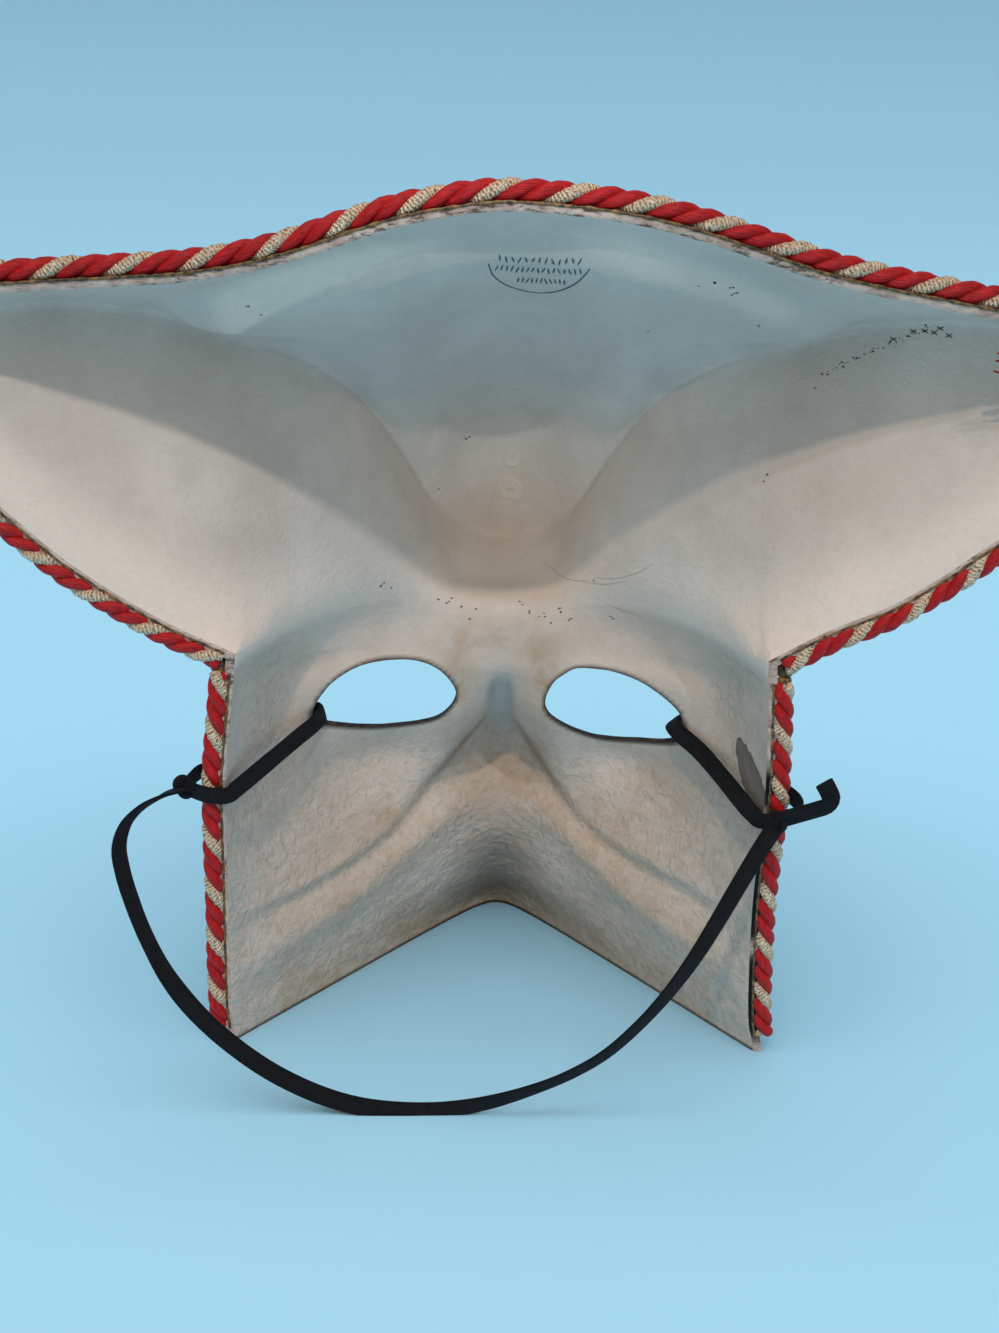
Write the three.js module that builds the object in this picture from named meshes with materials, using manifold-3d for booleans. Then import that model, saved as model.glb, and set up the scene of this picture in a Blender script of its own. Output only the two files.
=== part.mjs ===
// A half mask of moulded papier-mache with a three-cornered hat in one piece with it, open at the back,
// standing on the V of its lower edge. Twisted rope is glued round its rim, and a flat elastic is tied
// through the outer corners of its eye holes. Millimetres, +Z up, the face looks towards -Y.
// Every form of the shell is given by x across, s forward of the rim plane and z up.
import * as THREE from 'three';
import { mergeVertices } from 'three/addons/utils/BufferGeometryUtils.js';
import Module from 'manifold-3d';

// Driving dimensions
const WALL = 2.5;
const GAP = 0.35;
const TIP_X = 160;
const TIP_Z = 196;
const CORNER_X = 72.5;
const BROW_Z = 120.5;
const CORNER_RISE = 5;
const BAND_DROP = 5.4;
const SHOULDER = 3.2;
const BROW_ARCH = { x: 30, z: 84, wide: 38, high: 30, size: 33 };
const ROPE_DIAMETER = 6;
const ROPE_STEP = 8;
const ROPE_FOOT_Z = 4.5;
const ROPE_TOP_Z = 118.2;
const ELASTIC_DIAMETER = 2;
const TIE_STEP = 5.4;
const LOOP_STEP = 8.4;
const KNOT_RADIUS = 3;
const RIM_Y = 54.8;

// Rows of facets down the crown, the hat's flap and the face, and columns over half the face and a wing
const CROWN_ROWS = 11;
const FLAP_ROWS = 7;
const FACE_ROWS = 19;
const FACE_COLUMNS = 14;
const WING_COLUMNS = 10;

const clamp = THREE.MathUtils.clamp;
const smoothStep = (a, b, v) => THREE.MathUtils.smoothstep(v, a, b);
const bell = (v) => Math.exp(-v * v);

// A smooth curve through points given in order, level at 0 and never overshooting a point
function through(...points) {
  const xs = points.map((p) => p[0]);
  const ys = points.map((p) => p[1]);
  const last = xs.length - 1;
  const slopes = points.slice(1).map((p, i) => (p[1] - ys[i]) / (p[0] - xs[i]));
  const tangents = xs.map((x, i) => {
    if (i === 0) return x === 0 ? 0 : slopes[0];
    if (i === last) return slopes[last - 1];
    const product = slopes[i - 1] * slopes[i];
    return product > 0 ? (2 * product) / (slopes[i - 1] + slopes[i]) : 0;
  });
  return (value) => {
    const x = clamp(value, xs[0], xs[last]);
    let i = 0;
    while (i < last - 1 && x > xs[i + 1]) i += 1;
    const h = xs[i + 1] - xs[i];
    const t = (x - xs[i]) / h;
    const u = 1 - t;
    const start = ys[i] * (1 + 2 * t) * u * u + tangents[i] * h * t * u * u;
    return start + ys[i + 1] * t * t * (3 - 2 * t) - tangents[i + 1] * h * t * t * u;
  };
}

// 1 up to start, then a quarter round down to 0 at end
function quarterRound(x, start, end) {
  const u = clamp((x - start) / (end - start), 0, 1);
  return Math.sqrt(1 - u * u);
}

// Outline: the top rim, the lower edges of the wings, and the upright sides of the face, each trimmed by
// hand and so not quite alike on its two sides
const leftRim = through([0, 243], [22, 240.1], [37, 235.8], [52, 230.6], [67, 226.6], [82, 224.2], [102, 222.6],
  [122, 221.2], [TIP_X, 217]);
const rightRim = through([0, 243], [17, 242.1], [31.5, 240.3], [46.4, 237], [61.5, 232.5], [77, 227.7], [92, 224.4],
  [107, 221.8], [119, 219.8], [TIP_X, 214]);
const leftWing = through([CORNER_X, 125.2], [89.7, 133.3], [105.3, 142.7], [117.9, 151.9], [128.9, 161.9],
  [132.5, 165.4], [TIP_X, 193]);
const rightWing = through([CORNER_X, 126.3], [88.2, 135.5], [103.6, 142.7], [116, 150.9], [126.8, 159.5],
  [129.9, 161.8], [TIP_X, 188]);
const RIM_ROUND_X = 126;
const WING_ROUND_X = 140;

function rimZ(x) {
  const out = Math.abs(x);
  const edge = x > 0 ? leftRim(out) : rightRim(out);
  return TIP_Z + (edge - TIP_Z) * quarterRound(out, RIM_ROUND_X, TIP_X);
}

function wingZ(x) {
  const out = Math.max(Math.abs(x), CORNER_X);
  const edge = x > 0 ? leftWing(out) : rightWing(out);
  return TIP_Z + (edge - TIP_Z) * quarterRound(out, WING_ROUND_X, TIP_X);
}

const leftWidth = through([0, 77.9], [14, 78.5], [48, 77.8], [81, 77.2], [112, 74], [125.5, CORNER_X]);
const rightWidth = through([0, 78.1], [9, 76.2], [20, 75.2], [52, 74.1], [84, 74.8], [112, 73.6],
  [125.5, CORNER_X]);
const halfWidth = (side, z) => (side > 0 ? leftWidth(z) : rightWidth(z));

// Hat: the crease where the turned-up brim ends, how far it is rounded, the bend above it where the top
// turns down into a short wall, the step along the rim, and the brim's own sweep
const creaseS = through([0, 108], [12, 102], [22, 90], [33, 76], [45, 65], [60, 55], [78, 45], [100, 34],
  [125, 23], [145, 12], [TIP_X, 0]);
const creaseZ = through([0, 127], [12, 131], [22, 142], [33, 164], [45, 183], [60, 195], [78, 203.5],
  [100, 212], [125, 215], [145, 210], [TIP_X, TIP_Z]);
const creaseRound = through([0, 2.2], [30, 2.4], [50, 3.5], [75, 4.5], [95, 3.5], [TIP_X, 3]);
const bendS = through([0, 99], [12, 94.5], [22, 85], [31, 76.4], [38, 71], [45, 65], [60, 55], [78, 45],
  [100, 34], [125, 23], [145, 12], [TIP_X, 0]);
const bendZ = through([0, 167.5], [12, 167.5], [22, 167.8], [31, 169], [38, 174], [45, 183], [60, 195],
  [78, 203.5], [100, 212], [125, 215], [145, 210], [TIP_X, TIP_Z]);
const crownBulge = through([0, 7], [45, 5], [75, 2], [110, 0.5], [TIP_X, 0]);
const bandStart = through([0, 11.5], [25, 9.5], [43, 9.5], [50, 12], [65, 15.5], [82, 17], [TIP_X, 20]);
const bandWide = through([0, 6], [25, 5], [40, 6], [53, 8], [63, 9], [75, 11], [TIP_X, 12]);
const sweepS = through([0, 82], [14, 74], [22, 61], [33, 49], [45, 40], [60, 31], [73, 24], [86, 19],
  [100, 15], [125, 10], [TIP_X, 0]);
const sweepZ = through([0, 121.5], [14, 124], [22, 132], [33, 145], [45, 152], [60, 158], [73, 163],
  [86, 168], [100, 174], [125, 184], [TIP_X, TIP_Z]);
const brimRootS = through([0, 61], [20, 60], [34, 56], [46, 48], [58, 33], [68, 18], [78, 7], [92, 0],
  [TIP_X, 0]);

// Face: how deep its middle is, how its walls curve in plan, its nose, and its two folds on each side
const middleS = through([0, 92.4], [22, 80], [42, 68], [55, 65], [70, 61], [88, 57], [104, 58], [116, 61],
  [125, 61]);
const wallPower = through([0, 1], [25, 1.12], [45, 1.5], [62, 2.1], [85, 3], [110, 3.4], [125, 3]);
const wallRoot = through([0, 1], [25, 0.98], [45, 0.85], [62, 0.72], [85, 0.64], [110, 0.6], [125, 0.95]);
const ridgeRound = through([0, 0.083], [40, 0.12], [60, 0.2], [125, 0.3]);
const noseS = through([16, 0], [32, 2], [43, 6], [52, 14], [61, 20], [68, 20], [80, 12], [92, 4.5], [102, 0]);
const noseWidth = through([30, 26], [50, 22], [62, 16], [75, 10.5], [90, 8], [102, 8]);
const bridgeWidth = through([60, 9], [70, 6.5], [80, 4.6], [90, 3.7], [96, 3]);
const leftFold = through([0, 81], [7.2, 74], [15.4, 64.4], [24.8, 54.6], [34, 45.5], [43, 41], [52, 38.4],
  [62, 37.6], [78, 39]);
const rightFold = through([0, 79], [8.6, 69], [17.4, 56.8], [26.8, 48.2], [41.5, 42.6], [59, 41.4], [78, 41]);
const prowZ = through([0, 52], [9.5, 49.6], [19, 45], [31, 37.5], [46, 30.5], [60, 26.5], [78, 23]);

const browZ = (x) => BROW_Z + CORNER_RISE * Math.min(1, Math.abs(x) / CORNER_X) ** 2;

// Depth of the face at c, from -1 to 1 of its half width, and height z
function faceS(c, z) {
  const across = Math.abs(c);
  const x = across * halfWidth(c, z);
  const ridge = ridgeRound(z);
  const run = Math.sqrt(across ** 2 + ridge ** 2 * (1 - across ** 2));
  const inside = 1 - across ** 8;
  const fold = c > 0 ? leftFold : rightFold;
  const slope = fold(x + 0.5) - fold(Math.max(0, x - 0.5));
  const belowFold = (fold(x) - z) / Math.hypot(1, slope);
  const nearFold = inside * smoothStep(4, 9, x);
  const archX = Math.max(0, x - BROW_ARCH.x) / BROW_ARCH.wide;
  const archZ = Math.max(0, z - BROW_ARCH.z) / BROW_ARCH.high;
  const arch = BROW_ARCH.size * (Math.cbrt(archX ** 3 + archZ ** 3) - 1);
  const bridge = (1 - smoothStep(91, 95.5, z + 0.12 * x * x)) * smoothStep(60, 74, z);
  let s = middleS(z) * Math.max(0, 1 - run ** wallPower(z)) ** wallRoot(z);
  s += noseS(z) * bell(x / noseWidth(z));
  s += 3.6 * bridge * (1 - smoothStep(0.72, 1.12, x / bridgeWidth(z)));
  s += inside * 5 * bell((x - 40) / 19) * bell((z - 69) / 10);
  s += inside * 6 * bell(arch / 5) * smoothStep(12, 30, x) * smoothStep(84, 98, z);
  s -= inside * 3 * bell((x - 36) / 24) * bell((z - 101) / 9);
  s -= inside * 4.2 * bell((z - prowZ(x)) / 7.5) * (1 - 0.25 * bell(x / 10));
  const foldDepth = 2.2 + 1.8 * smoothStep(16, 34, x) * (1 - smoothStep(66, 76, x));
  s += nearFold * foldDepth * smoothStep(-2.2, 2.4, belowFold) * Math.exp(-Math.max(0, belowFold) / 10);
  s -= nearFold * 1.4 * (1 - smoothStep(-2, 1.5, belowFold)) * bell(belowFold / 7);
  return s;
}

// Foot of the brim: on the face's brow, or on the wing's lower edge beyond it
function brimFoot(x) {
  if (Math.abs(x) >= CORNER_X) return [0, wingZ(x)];
  return [faceS(x / CORNER_X, browZ(x)), browZ(x)];
}

// Lengths of the crown's slope, from the rim to the bend, and of its wall, from the bend to the crease
function crownLengths(x) {
  const out = Math.abs(x);
  const slope = Math.hypot(bendS(out), rimZ(x) - bendZ(out)) + 1e-6;
  return [slope, Math.hypot(creaseS(out) - bendS(out), bendZ(out) - creaseZ(out)) + 1e-6];
}

// Crown from the rim (v = 0) forward and down to the crease (v = 1), with a shallow step along the rim
function crownPoint(x, v) {
  const out = Math.abs(x);
  const [slope, wall] = crownLengths(x);
  const top = clamp((v * (slope + wall)) / slope, 0, 1);
  const low = clamp((v * (slope + wall) - slope) / wall, 0, 1);
  const s = bendS(out) * top + (creaseS(out) - bendS(out)) * low;
  const z = rimZ(x) + (bendZ(out) - rimZ(x)) * top + (creaseZ(out) - bendZ(out)) * low;
  const start = bandStart(out);
  const end = start + bandWide(out);
  const band = smoothStep(start, end, s) * (1 - smoothStep(end + 3, end + 42, s))
    * (1 - smoothStep(82, 98, out)) * (1 - smoothStep(0.66, 0.98, v));
  const shoulder = SHOULDER * bell((s - 13.5) / 6.5) * bell((out - 67) / 12);
  return [x, s, z + crownBulge(out) * 4 * top * (1 - top) + shoulder - BAND_DROP * band];
}

// Turned-up brim from the crease (v = 0) down to its foot (v = 1)
function flapPoint(x, v) {
  const out = Math.abs(x);
  const u = 1 - v;
  const root = brimRootS(out);
  const [footS, footZ] = brimFoot(x);
  const curl = 5 + 9 * smoothStep(52, CORNER_X, out);
  const s = u * u * creaseS(out) + 2 * u * v * sweepS(out) + v * v * root + (footS - root) * v ** curl;
  return [x, s, u * u * creaseZ(out) + 2 * u * v * sweepZ(out) + v * v * footZ];
}

// Inner face of the shell at t mm below the crease, along the column c
function innerPoint(c, t, crownLength, flapLength) {
  const x = c * CORNER_X;
  if (t < 0) return crownPoint(x, 1 + clamp(t / crownLength, -1, 0));
  if (t <= flapLength || Math.abs(c) > 1) return flapPoint(x, clamp(t / flapLength, 0, 1));
  const z = browZ(x) * (1 - clamp((t - flapLength) / browZ(x), 0, 1));
  return [c * halfWidth(c, z), faceS(c, z), z];
}

// The same, at a row of the grid, with the crease and the brow rounded by averaging along the column
function shellPoint(c, row) {
  const x = c * CORNER_X;
  const out = Math.abs(x);
  const [footS, footZ] = brimFoot(x);
  const crownLength = 1.12 * Math.hypot(creaseS(out), rimZ(x) - creaseZ(out)) + 1e-6;
  const flapLength = 1.05 * Math.hypot(creaseS(out) - footS, creaseZ(out) - footZ) + 1e-6;
  let t = (row / CROWN_ROWS - 1) * crownLength;
  if (row > CROWN_ROWS) t = ((row - CROWN_ROWS) / FLAP_ROWS) * flapLength;
  if (row > CROWN_ROWS + FLAP_ROWS) t = flapLength + ((row - CROWN_ROWS - FLAP_ROWS) / FACE_ROWS) * browZ(x);
  const creaseReach = Math.min(creaseRound(out), 0.35 * Math.min(crownLength, flapLength));
  const browReach = Math.min(14, 0.45 * flapLength) * (1 - smoothStep(60, CORNER_X, out));
  const [slope, wall] = crownLengths(x);
  const fromBend = Math.abs(t + (crownLength * wall) / (slope + wall));
  const reach = clamp(2 * creaseReach - Math.abs(t), 0, creaseReach)
    + clamp(2 * browReach - Math.abs(t - flapLength), 0, browReach)
    + clamp(10 - fromBend, 0, Math.min(5, 0.3 * wall));
  const sum = [0, 0, 0];
  let weights = 0;
  for (let k = -4; k <= 4; k += 1) {
    const weight = 5 - Math.abs(k);
    const point = innerPoint(c, t + (k / 4) * reach, crownLength, flapLength);
    point.forEach((value, axis) => { sum[axis] += weight * value; });
    weights += weight;
  }
  return sum.map((value) => value / weights);
}

// Columns close up towards both ends of the wings and the walls of the face
function columnPlaces() {
  const places = [];
  for (let i = -FACE_COLUMNS; i <= FACE_COLUMNS; i += 1) {
    const u = i / FACE_COLUMNS;
    places.push(0.7 * u + 0.3 * Math.sin((u * Math.PI) / 2));
  }
  for (let i = 1; i <= WING_COLUMNS; i += 1) {
    const share = (1 - Math.cos((i / WING_COLUMNS) * Math.PI)) / 2;
    const out = 1 + (TIP_X / CORNER_X - 1) * share;
    places.push(out);
    places.unshift(-out);
  }
  return places;
}

// Inner face as a grid of quads: the hat over every column, the face below it over the middle ones
function innerGrid() {
  const places = columnPlaces();
  const hatRows = CROWN_ROWS + FLAP_ROWS;
  const lastRow = hatRows + FACE_ROWS;
  const positions = [];
  const index = places.map((c, i) => {
    const onFace = i >= WING_COLUMNS && i < places.length - WING_COLUMNS;
    const column = [];
    for (let row = 0; row <= (onFace ? lastRow : hatRows); row += 1) {
      column.push(positions.length / 3);
      const [x, s, z] = shellPoint(c, row);
      positions.push(x, -s, z);
    }
    return column;
  });
  const triangles = [];
  for (let i = 0; i + 1 < places.length; i += 1) {
    const rows = Math.min(index[i].length, index[i + 1].length);
    for (let row = 0; row + 1 < rows; row += 1) {
      const corners = [index[i][row], index[i][row + 1], index[i + 1][row + 1], index[i + 1][row]];
      triangles.push(corners[0], corners[2], corners[1], corners[0], corners[3], corners[2]);
    }
  }
  const geometry = new THREE.BufferGeometry();
  geometry.setAttribute('position', new THREE.Float32BufferAttribute(positions, 3));
  geometry.setIndex(triangles);
  const merged = mergeVertices(geometry, 1e-3);
  const kept = [];
  const order = merged.index.array;
  for (let k = 0; k < order.length; k += 3) {
    const [a, b, c] = order.slice(k, k + 3);
    if (a !== b && b !== c && c !== a) kept.push(a, b, c);
  }
  merged.setIndex(kept);
  merged.computeVertexNormals();
  return merged;
}

// Edges that only one triangle has, in that triangle's direction
function borderEdges(triangles) {
  const seen = new Map();
  for (let k = 0; k < triangles.length; k += 3) {
    for (let side = 0; side < 3; side += 1) {
      const a = triangles[k + side];
      const b = triangles[k + ((side + 1) % 3)];
      if (seen.has(`${b},${a}`)) seen.delete(`${b},${a}`);
      else seen.set(`${a},${b}`, [a, b]);
    }
  }
  return [...seen.values()];
}

// The inner face thickened forward by the wall, with flat cut edges in the rim plane and on the ground
function shellGeometry() {
  const inner = innerGrid();
  const triangles = [...inner.index.array];
  const place = inner.attributes.position;
  const normal = inner.attributes.normal;
  const count = place.count;
  const edges = borderEdges(triangles);
  const onBorder = new Set(edges.flat());
  const positions = [...place.array];
  for (let i = 0; i < count; i += 1) {
    const point = new THREE.Vector3().fromBufferAttribute(place, i);
    const forward = new THREE.Vector3().fromBufferAttribute(normal, i).negate();
    const onGround = onBorder.has(i) && point.z < 0.01;
    const onRim = onBorder.has(i) && point.y > -0.01;
    if (onRim) forward.y = 0;
    if (onGround) forward.z = 0;
    forward.normalize();
    point.addScaledVector(forward, WALL);
    positions.push(point.x, point.y, point.z);
  }
  const all = [...triangles];
  for (let k = 0; k < triangles.length; k += 3) {
    all.push(triangles[k] + count, triangles[k + 2] + count, triangles[k + 1] + count);
  }
  edges.forEach(([a, b]) => all.push(b, a, a + count, b, a + count, b + count));
  const geometry = new THREE.BufferGeometry();
  geometry.setAttribute('position', new THREE.Float32BufferAttribute(positions, 3));
  geometry.setIndex(all);
  return geometry;
}

// Joining and cutting of closed bodies
const wasm = await Module();
wasm.setup();

function toSolid(geometry) {
  const bare = geometry.clone();
  bare.deleteAttribute('normal');
  bare.deleteAttribute('uv');
  const merged = mergeVertices(bare, 1e-3);
  return new wasm.Manifold(new wasm.Mesh({
    numProp: 3,
    vertProperties: new Float32Array(merged.attributes.position.array),
    triVerts: new Uint32Array(merged.index.array),
  }));
}

function toGeometry(solid) {
  const mesh = solid.getMesh();
  const geometry = new THREE.BufferGeometry();
  geometry.setAttribute('position', new THREE.BufferAttribute(mesh.vertProperties, 3));
  geometry.setIndex(new THREE.BufferAttribute(mesh.triVerts, 1));
  geometry.computeVertexNormals();
  return geometry;
}

// Eye holes, each cut by hand and so not quite alike, as [x, z] round a closed curve
const EYE_LEFT = [[14, 90.3], [16, 96], [22, 101.2], [32, 103.3], [42, 102.8], [50, 99.8], [55.5, 94],
  [56.8, 88.5], [48, 83.2], [39, 80.6], [29, 80.5], [19, 83.2]];
const EYE_RIGHT = [[-13.9, 88], [-15.8, 95], [-22, 100.6], [-31, 101.6], [-41, 100.2], [-50, 96], [-54.8, 91.5],
  [-54.6, 83.9], [-45, 79.2], [-32, 76.8], [-22, 79.8], [-15.6, 84]];
const EYE_FACETS = 26;
const EYE_REACH = 100;

function eyeCutter(outline) {
  const curve = new THREE.CatmullRomCurve3(outline.map(([x, z]) => new THREE.Vector3(x, z, 0)), true);
  const shape = new THREE.Shape(curve.getSpacedPoints(EYE_FACETS).slice(0, -1).map((p) => new THREE.Vector2(p.x, p.y)));
  const geometry = new THREE.ExtrudeGeometry(shape, { depth: EYE_REACH, bevelEnabled: false, steps: 1 });
  return geometry.rotateX(Math.PI / 2);
}

function maskShell() {
  const cutters = [EYE_LEFT, EYE_RIGHT].map((outline) => toSolid(eyeCutter(outline)));
  return toGeometry(cutters.reduce((solid, cutter) => solid.subtract(cutter), toSolid(shellGeometry())));
}

// A tube along points given as [x, s, z]
function tube(points, radius, sides, stepLength) {
  const curve = new THREE.CatmullRomCurve3(points.map(([x, s, z]) => new THREE.Vector3(x, -s, z)));
  const section = new THREE.Shape();
  for (let i = 0; i < sides; i += 1) {
    const angle = ((i + 0.5) * 2 * Math.PI) / sides;
    const corner = [radius * Math.cos(angle), radius * Math.sin(angle)];
    if (i === 0) section.moveTo(...corner);
    else section.lineTo(...corner);
  }
  const steps = Math.max(3, Math.round(curve.getLength() / stepLength));
  return new THREE.ExtrudeGeometry(section, { steps, extrudePath: curve, bevelEnabled: false });
}

// Rope trim: its middle runs outside the cut edge, nearly flush with the rim plane, and tucked in towards
// the edge where the wall behind it slopes away
const ROPE_OUT = WALL + GAP + ROPE_DIAMETER / 2;
const ROPE_S = ROPE_DIAMETER / 2 + GAP;
const TOP_TUCK = 0.5;
const WING_TUCK = 1.1;
const SIDE_TUCK = 0.45;

function besideEdge(edge, t, out) {
  const [x, z] = edge(t);
  const [xBefore, zBefore] = edge(t - 0.01);
  const [xAfter, zAfter] = edge(t + 0.01);
  const length = Math.hypot(xAfter - xBefore, zAfter - zBefore);
  return [x - ((zAfter - zBefore) * out) / length, ROPE_S, z + ((xAfter - xBefore) * out) / length];
}

function ropeAlong(edge, from, to, out, pieces) {
  const points = [];
  for (let i = 0; i <= pieces; i += 1) points.push(besideEdge(edge, from + ((to - from) * i) / pieces, out));
  return tube(points, ROPE_DIAMETER / 2, 8, ROPE_STEP);
}

// Along a wing's edges x is TIP_X sin(angle), so the rounded tip gets its share of points
const topEdge = (angle) => [TIP_X * Math.sin(angle), rimZ(TIP_X * Math.sin(angle))];
const wingEdge = (side) => (angle) => [side * TIP_X * Math.sin(angle), wingZ(side * TIP_X * Math.sin(angle))];
const sideEdge = (side) => (z) => [side * halfWidth(side, z), z];
const TIP_ANGLE = Math.PI / 2 - 0.02;
const WING_ROPE_START = Math.asin(75.4 / TIP_X);

// Elastic, in [x, s, z]: the tie round each side strip, and the loose loop that hangs behind to the ground
const LEFT_KNOT = [88, 0, 84.5];
const RIGHT_KNOT = [-78.5, -4.6, 80.5];
const LEFT_TIE = [LEFT_KNOT, [87.6, 4, 84.6], [86.2, 8.5, 85], [80.5, 15, 85.6], [76, 24, 86.4], [69.8, 35, 87.4],
  [62.4, 43.9, 88.4], [57, 47, 88.9], [54, 43.6, 89.2], [55.4, 37.2, 88.9], [60, 28.6, 87.6], [66, 17.4, 85.8],
  [72, 6.2, 84], [74.4, 1.6, 83.4], [76, -1.4, 83.1], [79, -2.4, 83.2], [83.4, -2, 83.8], LEFT_KNOT];
const LOOSE_LOOP = [LEFT_KNOT, [93.3, -9, 85.9], [98, -13, 84.4], [101.5, -17.2, 81.2], [102.9, -20, 76.1],
  [101.9, -22, 69.5], [99.5, -24, 61.5], [95.9, -26, 51.9], [90.3, -28, 40.6], [82.4, -30, 30.2], [72.7, -31.5, 20.9],
  [61.2, -32.5, 12.4], [48, -33, 5.6], [36.5, -33.2, 2.2], [24, -33.2, 1.15], [12.5, -33, 1.8], [1.3, -32.8, 4.2],
  [-9.9, -32.2, 7.9], [-21, -31.2, 12.7], [-31.2, -29.8, 19], [-40.6, -27.5, 27.6], [-48.4, -25, 36.6],
  [-55.3, -22, 46.2], [-61.4, -18.5, 56], [-67, -14.5, 65], [-73, -9.5, 73.6], RIGHT_KNOT];
const RIGHT_TIE = [RIGHT_KNOT, [-74, -2, 78.8], [-72.2, 1.4, 79], [-70.4, 6.6, 79.4], [-65.4, 18.8, 82], [-59.6, 30.2, 85.2],
  [-53.8, 38, 87.8], [-52.5, 43.6, 88.4], [-55.3, 47.2, 88], [-60.8, 44, 87.2], [-67.6, 35, 85.8],
  [-73.6, 24, 84.2], [-78.2, 15, 82.8], [-83.6, 8.6, 81.8], [-85.4, 3.4, 81.4], [-84.6, -1.4, 81.2], RIGHT_KNOT];
const TAIL = [RIGHT_KNOT, [-83.5, -5, 82.5], [-88.4, -5, 84.2], [-91.5, -5, 85.6], [-92.3, -5, 87.6], [-91.2, -5, 90.2],
  [-89.8, -5, 92.6]];

function knot([x, s, z]) {
  return new THREE.SphereGeometry(KNOT_RADIUS, 10, 7).rotateX(Math.PI / 2).translate(x, -s, z);
}

function elasticBand() {
  const radius = ELASTIC_DIAMETER / 2;
  const ties = [LEFT_TIE, RIGHT_TIE, TAIL].map((points) => tube(points, radius, 8, TIE_STEP));
  const bodies = [...ties, tube(LOOSE_LOOP, radius, 8, LOOP_STEP), knot(LEFT_KNOT), knot(RIGHT_KNOT)].map(toSolid);
  return toGeometry(bodies.reduce((whole, body) => whole.add(body)));
}

// Materials
const paper = { color: 0xd8cdc4, roughness: 0.75, metalness: 0 };
const cord = { color: 0xb01a20, roughness: 0.6, metalness: 0 };
const elastic = { color: 0x0e1116, roughness: 0.7, metalness: 0 };

function named(name, geometry, look) {
  const mesh = new THREE.Mesh(geometry, new THREE.MeshStandardMaterial(look));
  mesh.name = name;
  return mesh;
}

const mask = new THREE.Group();
mask.position.set(0, RIM_Y, 0);
mask.add(named('mask_shell', maskShell(), paper));
mask.add(named('rope_top', ropeAlong(topEdge, -TIP_ANGLE, TIP_ANGLE, ROPE_OUT - TOP_TUCK, 48), cord));
mask.add(named('rope_wing_left', ropeAlong(wingEdge(1), WING_ROPE_START, TIP_ANGLE, WING_TUCK - ROPE_OUT, 16), cord));
mask.add(named('rope_wing_right', ropeAlong(wingEdge(-1), WING_ROPE_START, TIP_ANGLE, ROPE_OUT - WING_TUCK, 16), cord));
mask.add(named('rope_side_left', ropeAlong(sideEdge(1), ROPE_FOOT_Z, ROPE_TOP_Z, SIDE_TUCK - ROPE_OUT, 10), cord));
mask.add(named('rope_side_right', ropeAlong(sideEdge(-1), ROPE_FOOT_Z, ROPE_TOP_Z, ROPE_OUT - SIDE_TUCK, 10), cord));
mask.add(named('elastic_band', elasticBand(), elastic));

export default mask;
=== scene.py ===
import math
import random

import bmesh
import bpy
import numpy as np
from mathutils import Matrix, Vector, noise


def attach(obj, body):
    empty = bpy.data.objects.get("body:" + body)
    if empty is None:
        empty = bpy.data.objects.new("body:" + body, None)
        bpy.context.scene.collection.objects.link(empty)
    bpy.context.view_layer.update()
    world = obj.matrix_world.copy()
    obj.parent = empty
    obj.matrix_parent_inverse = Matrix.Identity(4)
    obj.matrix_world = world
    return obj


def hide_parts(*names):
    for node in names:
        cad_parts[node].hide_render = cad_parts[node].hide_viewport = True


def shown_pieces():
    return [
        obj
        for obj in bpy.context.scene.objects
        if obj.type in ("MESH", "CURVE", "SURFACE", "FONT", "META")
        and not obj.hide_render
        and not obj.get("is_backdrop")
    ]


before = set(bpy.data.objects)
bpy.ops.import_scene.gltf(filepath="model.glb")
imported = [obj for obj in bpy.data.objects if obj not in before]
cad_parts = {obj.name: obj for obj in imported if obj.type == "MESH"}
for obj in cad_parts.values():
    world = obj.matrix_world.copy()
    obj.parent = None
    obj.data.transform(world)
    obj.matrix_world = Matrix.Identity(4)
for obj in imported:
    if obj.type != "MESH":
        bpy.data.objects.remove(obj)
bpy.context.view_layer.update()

# The shell: moulded papier-mache, face and three-cornered hat in one, pulled from a mould by its open back,
# so that its hollow inside keeps every form of the front. The rim was trimmed in one plane and the lower
# edge in another, and the eye holes were cut by hand with a knife.

# Sizes are in mm: x across, above 0 on the wearer's left, s forward of the rim's plane, and z up.
WALL = 2.5
TIP_X, TIP_Z = 160.0, 196.0
TIP_ROUND_TOP, TIP_ROUND_WING = 126.0, 140.0
CORNER_X = 72.5
BROW_Z, CORNER_RISE = 120.5, 5.0
BAND_DROP = 5.4
RIM_Y = 54.8
# The mesh's rows on the crown, the brim and the face, and its columns on half the face and on a wing
CROWN_ROWS, BRIM_ROWS, FACE_ROWS = 84, 40, 176
FACE_COLUMNS, WING_COLUMNS = 62, 34
# Swellings and hollows as middle x and z, width, height and depth; the shoulder's are x and s
CHEEK, EYE_SOCKET = (40, 69, 19, 10, 5.0), (36, 101, 24, 9, 3.0)
SHOULDER = (67, 13.5, 12, 6.5, 3.2)
BRIDGE_DEPTH, BRIDGE_HEAD, BRIDGE_FOOT, BRIDGE_ARCHED = 3.6, (97.5, 89.5), (60, 74), 0.12
PROW_GROOVE, PROW_GROOVE_HALF = 4.2, 7.5
# The cheek's fold: its step by the nose and the more on the cheek, how wide it fades, and its raised lip
FOLD_STEP, FOLD_STEP_MORE, FOLD_FADE, FOLD_LIP = 2.2, 1.8, 10, 1.4
BROW_ARCH = {"x": 30, "z": 84, "wide": 38, "high": 30, "size": 33, "deep": 6.0}


def smooth_step(a, b, v):
    t = np.clip((v - a) / (b - a), 0.0, 1.0)
    return t * t * (3.0 - 2.0 * t)


def bell(v):
    return np.exp(-v * v)


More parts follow.
